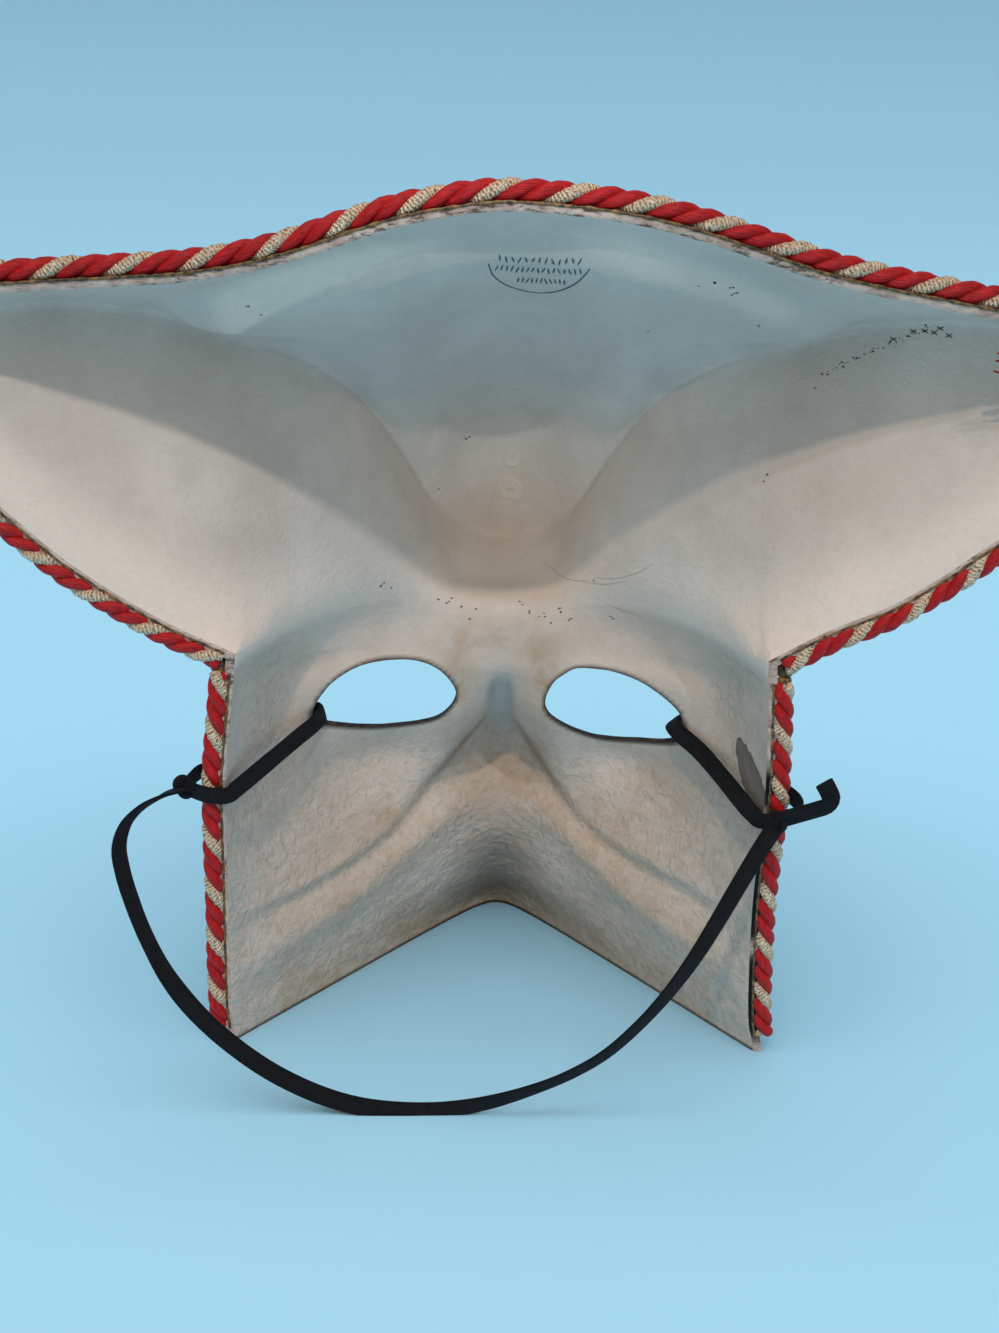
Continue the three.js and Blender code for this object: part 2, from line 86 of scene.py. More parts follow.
def blob(x, z, form):
    middle_x, middle_z, wide, high, strength = form
    return strength * bell((x - middle_x) / wide) * bell((z - middle_z) / high)


def unit(vectors):
    return vectors / np.linalg.norm(vectors, axis=-1, keepdims=True)


def through(*points):
    """A smooth curve through points given in order, level at 0 and never overshooting a point."""
    xs, ys = np.array(points, float).T
    slopes = np.diff(ys) / np.diff(xs)
    tangents = np.zeros(len(xs))
    tangents[0], tangents[-1] = (0.0 if xs[0] == 0 else slopes[0]), slopes[-1]
    for i in range(1, len(xs) - 1):
        if slopes[i - 1] * slopes[i] > 0:
            tangents[i] = 2 * slopes[i - 1] * slopes[i] / (slopes[i - 1] + slopes[i])

    def at(x):
        x = np.clip(x, xs[0], xs[-1])
        i = np.clip(np.searchsorted(xs, x, side="right") - 1, 0, len(xs) - 2)
        h = xs[i + 1] - xs[i]
        t = (x - xs[i]) / h
        start = ys[i] * (1 + 2 * t) * (1 - t) ** 2 + tangents[i] * h * t * (1 - t) ** 2
        return start + ys[i + 1] * t * t * (3 - 2 * t) + tangents[i + 1] * h * t * t * (t - 1)

    return at


def quarter_round(x, start, end):
    u = np.clip((x - start) / (end - start), 0.0, 1.0)
    return np.sqrt(1.0 - u * u)


left_rim = through((0, 243), (22, 240.1), (37, 235.8), (52, 230.6), (67, 226.6), (82, 224.2), (102, 222.6),
                   (122, 221.2), (TIP_X, 217))
right_rim = through((0, 243), (17, 242.1), (31.5, 240.3), (46.4, 237), (61.5, 232.5), (77, 227.7), (92, 224.4),
                    (107, 221.8), (119, 219.8), (TIP_X, 214))
left_wing = through((CORNER_X, 125.2), (89.7, 133.3), (105.3, 142.7), (117.9, 151.9), (128.9, 161.9),
                    (132.5, 165.4), (TIP_X, 193))
right_wing = through((CORNER_X, 126.3), (88.2, 135.5), (103.6, 142.7), (116, 150.9), (126.8, 159.5),
                     (129.9, 161.8), (TIP_X, 188))


def by_side(side, left, right, x):
    return np.where(side > 0, left(x), right(x))


def rim_z(x):
    out = np.abs(x)
    return TIP_Z + (by_side(x, left_rim, right_rim, out) - TIP_Z) * quarter_round(out, TIP_ROUND_TOP, TIP_X)


def wing_z(x):
    out = np.maximum(np.abs(x), CORNER_X)
    return TIP_Z + (by_side(x, left_wing, right_wing, out) - TIP_Z) * quarter_round(out, TIP_ROUND_WING, TIP_X)


left_width = through((0, 77.9), (14, 78.5), (48, 77.8), (81, 77.2), (112, 74), (125.5, CORNER_X))
right_width = through((0, 78.1), (9, 76.2), (20, 75.2), (52, 74.1), (84, 74.8), (112, 73.6), (125.5, CORNER_X))
crease_s = through((0, 108), (12, 102), (22, 90), (33, 76), (45, 65), (60, 55), (78, 45), (100, 34), (125, 23),
                   (145, 12), (TIP_X, 0))
crease_z = through((0, 127), (12, 131), (22, 142), (33, 164), (45, 183), (60, 195), (78, 203.5), (100, 212),
                   (125, 215), (145, 210), (TIP_X, TIP_Z))
crease_round = through((0, 2.2), (30, 2.4), (50, 3.5), (75, 4.5), (95, 3.5), (TIP_X, 3))
bend_s = through((0, 99), (12, 94.5), (22, 85), (31, 76.4), (38, 71), (45, 65), (60, 55), (78, 45), (100, 34),
                 (125, 23), (145, 12), (TIP_X, 0))
bend_z = through((0, 167.5), (12, 167.5), (22, 167.8), (31, 169), (38, 174), (45, 183), (60, 195), (78, 203.5),
                 (100, 212), (125, 215), (145, 210), (TIP_X, TIP_Z))
crown_bulge = through((0, 7), (45, 5), (75, 2), (110, 0.5), (TIP_X, 0))
sweep_s = through((0, 82), (14, 74), (22, 61), (33, 49), (45, 40), (60, 31), (73, 24), (86, 19), (100, 15),
                  (125, 10), (TIP_X, 0))
sweep_z = through((0, 121.5), (14, 124), (22, 132), (33, 145), (45, 152), (60, 158), (73, 163), (86, 168),
                  (100, 174), (125, 184), (TIP_X, TIP_Z))
brim_root_s = through((0, 61), (20, 60), (34, 56), (46, 48), (58, 33), (68, 18), (78, 7), (92, 0), (TIP_X, 0))
middle_s = through((0, 92.4), (22, 80), (42, 68), (55, 65), (70, 61), (88, 57), (104, 58), (116, 61),
                   (125, 61))
wall_power = through((0, 1), (25, 1.12), (45, 1.5), (62, 2.1), (85, 3), (110, 3.4), (125, 3))
wall_root = through((0, 1), (25, 0.98), (45, 0.85), (62, 0.72), (85, 0.64), (110, 0.6), (125, 0.95))
ridge_round = through((0, 0.083), (40, 0.12), (60, 0.2), (125, 0.3))
nose_s = through((16, 0), (32, 2), (43, 6), (52, 14), (61, 20), (68, 20), (80, 12), (92, 4.5), (102, 0))
nose_width = through((30, 26), (50, 22), (62, 16), (75, 10.5), (90, 8), (102, 8))
bridge_width = through((60, 9), (70, 6.5), (80, 4.6), (90, 3.7), (96, 3))
left_fold = through((0, 81), (7.2, 74), (15.4, 64.4), (24.8, 54.6), (34, 45.5), (43, 41), (52, 38.4),
                    (62, 37.6), (78, 39))
right_fold = through((0, 79), (8.6, 69), (17.4, 56.8), (26.8, 48.2), (41.5, 42.6), (59, 41.4), (78, 41))
prow_z = through((0, 52), (9.5, 49.6), (19, 45), (31, 37.5), (46, 30.5), (60, 26.5), (78, 23))
band_start = through((0, 11.5), (25, 9.5), (43, 9.5), (50, 12), (65, 15.5), (82, 17), (TIP_X, 20))
band_wide = through((0, 6), (25, 5), (40, 6), (53, 8), (63, 9), (75, 11), (TIP_X, 12))


def half_width(side, z):
    return by_side(side, left_width, right_width, z)


def brow_z(x):
    return BROW_Z + CORNER_RISE * np.minimum(1.0, np.abs(x) / CORNER_X) ** 2


def face_s(c, z):
    """How far forward the face is at c, from -1 to 1 of its half width, and height z."""
    across = np.abs(c)
    x = across * half_width(c, z)
    ridge = ridge_round(z)
    run = np.sqrt(across ** 2 + ridge ** 2 * (1 - across ** 2))
    inside = 1 - across ** 8
    fold = by_side(c, left_fold, right_fold, x)
    slope = by_side(c, left_fold, right_fold, x + 0.5)
    slope = slope - by_side(c, left_fold, right_fold, np.maximum(0, x - 0.5))
    below_fold = (fold - z) / np.sqrt(1 + slope ** 2)
    near_fold = inside * smooth_step(4, 9, x)
    s = middle_s(z) * np.maximum(0.0, 1 - run ** wall_power(z)) ** wall_root(z)
    s = s + nose_s(z) * bell(x / nose_width(z))
    # the bridge is a narrow trench with an arched head
    head = smooth_step(*BRIDGE_HEAD, z + BRIDGE_ARCHED * x * x) * smooth_step(*BRIDGE_FOOT, z)
    s = s + BRIDGE_DEPTH * head * (1 - smooth_step(0.4, 1.3, x / bridge_width(z)))
    # the brow is an arch that turns down beside the eye hole
    brow = BROW_ARCH
    arch = (np.maximum(0, x - brow["x"]) / brow["wide"]) ** 3
    arch = arch + (np.maximum(0, z - brow["z"]) / brow["high"]) ** 3
    arch = brow["deep"] * bell(brow["size"] * (arch ** (1 / 3) - 1) / 5.0)
    arch = arch * smooth_step(12, 30, x) * smooth_step(84, 98, z)
    groove = PROW_GROOVE * bell((z - prow_z(x)) / PROW_GROOVE_HALF) * (1 - 0.25 * bell(x / 10))
    s = s + inside * (blob(x, z, CHEEK) + arch - blob(x, z, EYE_SOCKET) - groove)
    step = FOLD_STEP + FOLD_STEP_MORE * smooth_step(16, 34, x) * (1 - smooth_step(66, 76, x))
    step = step * smooth_step(-3.6, 3.6, below_fold) * np.exp(-np.maximum(0, below_fold) / FOLD_FADE)
    lip = FOLD_LIP * (1 - smooth_step(-3.2, 2.6, below_fold)) * bell(below_fold / 7)
    return s + near_fold * (step - lip)


def brim_foot(x):
    inner = np.abs(x) < CORNER_X
    z = brow_z(x)
    s = np.where(inner, face_s(np.clip(x / CORNER_X, -1, 1), z), 0.0)
    return s, np.where(inner, z, wing_z(x))


def crown_point(x, v):
    """The hat's top: a ceiling sloping down to a bend, and a short wall from the bend to the crease."""
    out, v = np.abs(x), np.clip(v, 0, 1)
    slope = np.hypot(bend_s(out), rim_z(x) - bend_z(out)) + 1e-6
    wall = np.hypot(crease_s(out) - bend_s(out), bend_z(out) - crease_z(out)) + 1e-6
    top = np.clip(v * (slope + wall) / slope, 0, 1)
    low = np.clip((v * (slope + wall) - slope) / wall, 0, 1)
    s = bend_s(out) * top + (crease_s(out) - bend_s(out)) * low
    z = rim_z(x) + (bend_z(out) - rim_z(x)) * top + (crease_z(out) - bend_z(out)) * low
    start, end = band_start(out), band_start(out) + band_wide(out)
    band = smooth_step(start, end, s) * (1 - smooth_step(end + 3, end + 42, s))
    band = band * (1 - smooth_step(82, 98, out)) * (1 - smooth_step(0.66, 0.98, v))
    return s, z + crown_bulge(out) * 4 * top * (1 - top) + blob(out, s, SHOULDER) - BAND_DROP * band


def flap_point(x, v):
    out, u = np.abs(x), 1 - v
    root, (foot_s, foot_z) = brim_root_s(out), brim_foot(x)
    curl = 5 + 9 * smooth_step(52, CORNER_X, out)
    s = u * u * crease_s(out) + 2 * u * v * sweep_s(out) + v * v * root + (foot_s - root) * v ** curl
    return s, u * u * crease_z(out) + 2 * u * v * sweep_z(out) + v * v * foot_z


def inner_point(c, t, crown_length, flap_length):
    x = c * CORNER_X
    crown_s, crown_z = crown_point(x, 1 + np.clip(t / crown_length, -1, 0))
    flap_s, flap_z = flap_point(x, np.clip(t / flap_length, 0, 1))
    z = brow_z(x) * (1 - np.clip((t - flap_length) / brow_z(x), 0, 1))
    face_c = np.clip(c, -1, 1)
    on_crown, on_face = t < 0, (t > flap_length) & (np.abs(c) <= 1)
    return np.stack([
        np.where(on_face, face_c * half_width(face_c, z), x),
        np.where(on_crown, crown_s, np.where(on_face, face_s(face_c, z), flap_s)),
        np.where(on_crown, crown_z, np.where(on_face, z, flap_z)),
    ], -1)


def shell_point(c, row):
    """A point of the inner face as x, s forward of the rim and z, with the crease and the brow rounded."""
    c, row = np.broadcast_arrays(np.asarray(c, float), np.asarray(row, float))
    x = c * CORNER_X
    out = np.abs(x)
    foot_s, foot_z = brim_foot(x)
    crown_length = 1.12 * np.hypot(crease_s(out), rim_z(x) - crease_z(out)) + 1e-6
    flap_length = 1.05 * np.hypot(crease_s(out) - foot_s, crease_z(out) - foot_z) + 1e-6
    below = row - CROWN_ROWS
    t = np.where(below <= 0, below / CROWN_ROWS * crown_length, below / BRIM_ROWS * flap_length)
    t = np.where(below > BRIM_ROWS, flap_length + (below - BRIM_ROWS) / FACE_ROWS * brow_z(x), t)
    crease_reach = np.minimum(crease_round(out), 0.35 * np.minimum(crown_length, flap_length))
    brow_reach = np.minimum(14.0, 0.45 * flap_length) * (1 - smooth_step(60, CORNER_X, out))
    reach = np.clip(2 * crease_reach - np.abs(t), 0, crease_reach)
    reach = reach + np.clip(2 * brow_reach - np.abs(t - flap_length), 0, brow_reach)
    wall = np.hypot(crease_s(out) - bend_s(out), bend_z(out) - crease_z(out))
    slope = np.hypot(bend_s(out), rim_z(x) - bend_z(out)) + 1e-6
    from_bend = np.abs(t + crown_length * wall / (slope + wall))
    reach = reach + np.clip(10 - from_bend, 0, np.minimum(5, 0.3 * wall))
    # a weighted mean of nine points across each rounded place
    total = 0
    for k in range(-4, 5):
        total = total + (5 - abs(k)) * inner_point(c, t + k / 4 * reach, crown_length, flap_length)
    return total / 25.0


def lumps(points, size, seed):
    """Smooth noise from -1 to 1 with this grain in mm, at each of the points."""
    return np.array([noise.noise(Vector(p) / size + Vector((seed, seed, seed))) for p in points])


def in_frame(points):
    """From x, s and z in mm to the model's frame in metres."""
    points = np.asarray(points, float)
    return np.stack([points[..., 0], RIM_Y - points[..., 1], points[..., 2]], -1) / 1000


def inner_grid():
    u = np.linspace(-1, 1, 2 * FACE_COLUMNS + 1)
    face = u - 0.06 * np.sin(2 * np.pi * u)
    share = (1 - np.cos(np.linspace(0, np.pi, WING_COLUMNS + 1)[1:])) / 2
    wing = 1 + (TIP_X / CORNER_X - 1) * (0.35 * np.linspace(0, 1, WING_COLUMNS + 1)[1:] + 0.65 * share)
    places = np.concatenate([-wing[::-1], face, wing])
    hat_rows = CROWN_ROWS + BRIM_ROWS
    last_row = hat_rows + FACE_ROWS
    hat = shell_point(places[:, None], np.arange(hat_rows + 1)[None, :])
    chin = shell_point(face[:, None], np.arange(hat_rows + 1, last_row + 1)[None, :])
    index = np.full((len(places), last_row + 1), -1)
    index[:, :hat_rows + 1] = np.arange(hat[..., 0].size).reshape(hat.shape[:2])
    middle = slice(WING_COLUMNS, WING_COLUMNS + len(face))
    index[middle, hat_rows + 1:] = hat[..., 0].size + np.arange(chin[..., 0].size).reshape(chin.shape[:2])
    points = np.concatenate([hat.reshape(-1, 3), chin.reshape(-1, 3)])
    quads = np.stack([index[:-1, :-1], index[1:, :-1], index[1:, 1:], index[:-1, 1:]], -1)
    rows = np.broadcast_to(np.arange(last_row), quads.shape[:2])
    there = (quads >= 0).all(-1)
    return points, quads[there], rows[there]


def merged(points, quads):
    """The tips' columns close to one point each, so that the shell has no open slit there."""
    _, first, same = np.unique(np.round(points, 3), axis=0, return_index=True, return_inverse=True)
    return points[first], same.reshape(-1)[quads]


def normals_of(points, quads):
    normals = np.zeros_like(points)
    cross = np.cross(points[quads[:, 2]] - points[quads[:, 0]], points[quads[:, 3]] - points[quads[:, 1]])
    for k in range(4):
        np.add.at(normals, quads[:, k], cross)
    return unit(normals)


def border(quads):
    edges = np.concatenate([quads[:, [k, (k + 1) % 4]] for k in range(4)])
    edges = edges[edges[:, 0] != edges[:, 1]]
    seen = {tuple(e) for e in edges.tolist()}
    return np.array([e for e in edges.tolist() if (e[1], e[0]) not in seen])


def linear(code):
    """An sRGB hex colour as linear red, green, blue and alpha."""
    parts = [int(code[i:i + 2], 16) / 255 for i in (1, 3, 5)]
    return (*(p / 12.92 if p <= 0.04045 else ((p + 0.055) / 1.055) ** 2.4 for p in parts), 1.0)


def new_material(name):
    made = bpy.data.materials.new(name)
    made.use_nodes = True
    made.node_tree.nodes.clear()
    return made, made.node_tree


def add(tree, kind, links=(), out=0, stops=(), **settings):
    """Adds one node with its settings; links gives its inputs their values or the outputs that feed them."""
    node = tree.nodes.new("ShaderNode" + kind)
    for name, value in settings.items():
        setattr(node, name, value)
    for name, value in dict(links).items():
        if isinstance(value, bpy.types.NodeSocket):
            tree.links.new(value, node.inputs[name])
        else:
            node.inputs[name].default_value = value
    for k, (position, value) in enumerate(stops):
        if k > 1:
            node.color_ramp.elements.new(position)
        stop = node.color_ramp.elements[k]
        stop.position = position
        stop.color = linear(value) if isinstance(value, str) else (value, value, value, 1.0)
    return node.outputs[out] if len(node.outputs) else node


def per_mm(size):
    """A texture scale for a grain of this size, in repeats for each metre."""
    return 1000.0 / size


def gesso_inside():
    """Chalk and glue brushed on paper pulp: dead matt, off-white, warm where lit, brown where the glue ran,
    with painted light and painted shade in its colour.
    """
    made, tree = new_material("gessoed_papier_mache")
    place = add(tree, "TexCoord", out="Object")
    broad = add(tree, "TexNoise", {"Vector": place, "Scale": per_mm(45), "Detail": 3.0, "Roughness": 0.55})
    colour = add(tree, "ValToRGB", {0: broad}, stops=((0.36, "#D5C8BD"), (0.64, "#E1D6CC")))
    # painted on the mesh below: where each stain or cut lies, and where painted light and painted shade lie
    names = ("painted_cool_shade", "painted_light", "painted_facet_light", "rough_pulp", "glue_stain_and_shade", "painted_deep_shade",
             "cut_line")
    cool, thick, ridge, worn, stain_shade_amount, deep, cut = (
        add(tree, "Attribute", attribute_name=name, out="Fac") for name in names)
    # brushed unevenly: faint greyer clouds 14 mm across
    cloud = add(tree, "TexNoise", {"Vector": place, "Scale": per_mm(14), "Detail": 4.0, "Roughness": 0.6})
    cloud = add(tree, "ValToRGB", {0: cloud}, stops=((0.46, 0.0), (0.7, 0.34)))
    # bare pulp low on the face: beige flecks 2.5 mm across
    fleck = add(tree, "TexNoise", {"Vector": place, "Scale": per_mm(2.5), "Detail": 4.0, "Roughness": 0.65,
                                   "Distortion": 0.5})
    fleck = add(tree, "ValToRGB", {0: fleck}, stops=((0.45, 0.0), (0.72, 0.55)))
    fleck = add(tree, "Math", {0: fleck, 1: worn}, operation="MULTIPLY")
    # glue that soaked through, in tan clouds
    soak = add(tree, "TexNoise", {"Vector": place, "Scale": per_mm(9), "Detail": 5.0, "Roughness": 0.65,
                                  "Distortion": 0.4})
    soak = add(tree, "ValToRGB", {0: soak}, stops=((0.34, 0.15), (0.62, 1.0)))
    soak = add(tree, "Math", {0: stain_shade_amount, 1: soak}, operation="MULTIPLY")
    # a leaf-shaped smear of thin dark paint, 6 by 21 mm, beside the right rim
    smear = add(tree, "Mapping", {"Vector": place, "Location": (-0.0728, 0.0, 0.0845),
                                  "Rotation": (0.0, 0.288, 0.0), "Scale": (0.0032, 1000.0, 0.0118)},
                vector_type="TEXTURE")
    smear = add(tree, "VectorMath", {0: smear}, out="Value", operation="LENGTH")
    ragged = add(tree, "TexNoise", {"Vector": place, "Scale": per_mm(3), "Detail": 3.0})
    smear = add(tree, "Math", {0: ragged, 1: 0.35, 2: smear}, operation="MULTIPLY_ADD")
    smear = add(tree, "ValToRGB", {0: smear}, stops=((0.0, 0.66), (1.04, 0.78), (1.12, 0.0)))
    # grey clouds, painted cool shade, painted light, painted light on the band's facet, bare pulp, tan glue
    # that is partly painted shade, painted brown shade, a dark line round the eye holes and along the bottom
    # edge, and the smear
    for amount, code in ((cloud, "#C2B9AD"), (cool, "#AEBAC0"), (thick, "#F4E6DA"), (ridge, "#FFF2E2"),
                         (fleck, "#B3A894"), (soak, "#B48F63"), (deep, "#55402A"), (cut, "#2B211A"),
                         (smear, "#4A423C")):
        colour = add(tree, "Mix", {0: amount, 6: colour, 7: linear(code)}, out=2, data_type="RGBA")
    # skin of the pulp: pores 1.2 mm apart everywhere, orange peel 3 mm across where it is bare
    pores = add(tree, "TexNoise", {"Vector": place, "Scale": per_mm(1.2), "Detail": 3.0, "Roughness": 0.6})
    peel = add(tree, "TexNoise", {"Vector": place, "Scale": per_mm(3.2), "Detail": 3.0, "Roughness": 0.55,
                                  "Distortion": 0.9})
    peel = add(tree, "Math", {0: peel, 1: worn}, operation="MULTIPLY")
    height = add(tree, "Math", {0: pores, 1: 0.24, 2: peel}, operation="MULTIPLY_ADD")
    bump = add(tree, "Bump", {"Height": height, "Strength": 1.0, "Distance": 0.0010})
    shader = add(tree, "BsdfPrincipled", {
        "Base Color": colour, "Normal": bump, "Roughness": 0.86, "IOR": 1.5, "Specular IOR Level": 0.22})
    add(tree, "OutputMaterial", {"Surface": shader})
    return made


def cut_paper():
    """The trimmed edge: layers of pulp and paper, pinkish, with glue and old paint rubbed in along the cut."""
    made, tree = new_material("cut_papier_mache_edge")
    place = add(tree, "TexCoord", out="Object")
    pale = add(tree, "TexNoise", {"Vector": place, "Scale": per_mm(5), "Detail": 3.0})
    colour = add(tree, "ValToRGB", {0: pale}, stops=((0.38, "#CBAFA3"), (0.62, "#E2CFC2")))
    # layers torn and darkened along the edge, in streaks half a millimetre thick and drawn out sideways
    drawn_out = add(tree, "Mapping", {"Vector": place, "Scale": (0.3, 1.0, 1.0)})
    streak = add(tree, "TexNoise", {"Vector": drawn_out, "Scale": per_mm(1.5), "Detail": 5.0,
                                    "Roughness": 0.75, "Distortion": 0.3})
    streak = add(tree, "ValToRGB", {0: streak}, stops=((0.5, 0.0), (0.6, 0.85)))
    names = ("dirty_edge", "black_paint")
    dirty, black = (add(tree, "Attribute", attribute_name=name, out="Fac") for name in names)
    streak = add(tree, "Math", {0: streak, 1: dirty}, operation="MULTIPLY")
    for amount, code in ((streak, "#54402F"), (black, "#141416")):
        colour = add(tree, "Mix", {0: amount, 6: colour, 7: linear(code)}, out=2, data_type="RGBA")
    rough = add(tree, "TexNoise", {"Vector": place, "Scale": per_mm(1.3), "Detail": 4.0, "Roughness": 0.7})
    bump = add(tree, "Bump", {"Height": rough, "Strength": 1.0, "Distance": 0.0006})
    shader = add(tree, "BsdfPrincipled", {
        "Base Color": colour, "Normal": bump, "Roughness": 0.85, "IOR": 1.5, "Specular IOR Level": 0.25})
    add(tree, "OutputMaterial", {"Surface": shader})
    return made


def knife_cut():
    """The eye holes' and the lower edge: cut through paint and pulp, and dark with paint and handling."""
    made, tree = new_material("knife_cut_edge")
    place = add(tree, "TexCoord", out="Object")
    colour = add(tree, "TexNoise", {"Vector": place, "Scale": per_mm(2.2), "Detail": 4.0, "Roughness": 0.7})
    colour = add(tree, "ValToRGB", {0: colour}, stops=((0.42, "#15110F"), (0.66, "#4E3C2E")))
    rough = add(tree, "TexNoise", {"Vector": place, "Scale": per_mm(1.0), "Detail": 3.0})
    bump = add(tree, "Bump", {"Height": rough, "Strength": 1.0, "Distance": 0.0005})
    shader = add(tree, "BsdfPrincipled", {"Base Color": colour, "Normal": bump, "Roughness": 0.8, "IOR": 1.5})
    add(tree, "OutputMaterial", {"Surface": shader})
    return made


def face_paint():
    """Outside of the face: ivory distemper rubbed back, with a brown glaze left in its fine cracks."""
    made, tree = new_material("ivory_distemper")
    place = add(tree, "TexCoord", out="Object")
    tone = add(tree, "TexNoise", {"Vector": place, "Scale": per_mm(26), "Detail": 4.0, "Roughness": 0.6})
    colour = add(tree, "ValToRGB", {0: tone}, stops=((0.35, "#DCCFB6"), (0.65, "#E8DECA")))
    # a craze of hairlines in cells 7 mm across, only here and there
    crack = add(tree, "TexVoronoi", {"Vector": place, "Scale": per_mm(7), "Randomness": 1.0},
                feature="DISTANCE_TO_EDGE")
    crack = add(tree, "ValToRGB", {0: crack}, stops=((0.0, 1.0), (0.035, 0.0)))
    where = add(tree, "TexNoise", {"Vector": place, "Scale": per_mm(22), "Detail": 3.0})
    where = add(tree, "ValToRGB", {0: where}, stops=((0.46, 0.0), (0.62, 0.6)))
    crack = add(tree, "Math", {0: crack, 1: where}, operation="MULTIPLY")
    names = ("glaze", "black_border")
    glaze, border = (add(tree, "Attribute", attribute_name=name, out="Fac") for name in names)
    # the hat's black carried over the face's edge, under the rope
    edge = add(tree, "TexNoise", {"Vector": place, "Scale": per_mm(4), "Detail": 3.0})
    edge = add(tree, "Math", {0: edge, 1: 0.5}, operation="SUBTRACT")
    border = add(tree, "Math", {0: edge, 1: 0.7, 2: border}, operation="MULTIPLY_ADD")
    border = add(tree, "ValToRGB", {0: border}, stops=((0.46, 0.0), (0.54, 1.0)))
    for amount, code in ((crack, "#8C7654"), (glaze, "#9C8258"), (border, "#17171B")):
        colour = add(tree, "Mix", {0: amount, 6: colour, 7: linear(code)}, out=2, data_type="RGBA")
    grain = add(tree, "TexNoise", {"Vector": place, "Scale": per_mm(2.4), "Detail": 4.0, "Roughness": 0.6})
    height = add(tree, "Math", {0: crack, 1: -0.3, 2: grain}, operation="MULTIPLY_ADD")
    bump = add(tree, "Bump", {"Height": height, "Strength": 1.0, "Distance": 0.0003})
    shader = add(tree, "BsdfPrincipled", {
        "Base Color": colour, "Normal": bump, "Roughness": 0.5, "IOR": 1.5, "Coat Weight": 0.15,
        "Coat Roughness": 0.35})
    add(tree, "OutputMaterial", {"Surface": shader})
    return made


def hat_paint():
    """Outside of the hat: matt black casein, brushed from crease to rim, thin and brown on the high places."""
    made, tree = new_material("black_casein")
    place = add(tree, "TexCoord", out="Object")
    drawn_out = add(tree, "Mapping", {"Vector": place, "Scale": (1.0, 0.18, 0.35)})
    streak = add(tree, "TexNoise", {"Vector": drawn_out, "Scale": per_mm(1.6), "Detail": 4.0,
                                    "Roughness": 0.6})
    colour = add(tree, "ValToRGB", {0: streak}, stops=((0.4, "#131317"), (0.7, "#27252B")))
    rubbed = add(tree, "TexNoise", {"Vector": place, "Scale": per_mm(13), "Detail": 5.0, "Roughness": 0.7})
    rubbed = add(tree, "ValToRGB", {0: rubbed}, stops=((0.6, 0.0), (0.78, 0.5)))
    colour = add(tree, "Mix", {0: rubbed, 6: colour, 7: linear("#3B2C24")}, out=2, data_type="RGBA")
    pulp = add(tree, "TexNoise", {"Vector": place, "Scale": per_mm(2.4), "Detail": 3.0})
    height = add(tree, "Math", {0: streak, 1: 0.8, 2: pulp}, operation="MULTIPLY_ADD")
    bump = add(tree, "Bump", {"Height": height, "Strength": 1.0, "Distance": 0.0003})
    shader = add(tree, "BsdfPrincipled", {
        "Base Color": colour, "Normal": bump, "Roughness": 0.55, "IOR": 1.5, "Sheen Weight": 0.1,
        "Sheen Roughness": 0.5})
    add(tree, "OutputMaterial", {"Surface": shader})
    return made


def mesh_object(name, points, faces, materials, which=None):
    mesh = bpy.data.meshes.new(name)
    mesh.from_pydata([tuple(p) for p in points], [], [tuple(f) for f in faces])
    for material in materials:
        mesh.materials.append(material)
    if which is not None:
        mesh.polygons.foreach_set("material_index", np.asarray(which, np.int32))
    mesh.shade_smooth()
    made = bpy.data.objects.new(name, mesh)
    bpy.context.collection.objects.link(made)
    return made


# The inner face is thickened by the wall; both sides carry the pulp's own unevenness, stronger low on the face
BROAD_RELIEF, SMALL_RELIEF, FINE_RELIEF, OUTSIDE_RELIEF = 0.24, 0.19, 0.32, 0.2
RIPPLE_HEIGHT, RIPPLE_APART = 0.17, 2.9
EDGE_RAGGED, EDGE_INSET = 0.14, 0.35


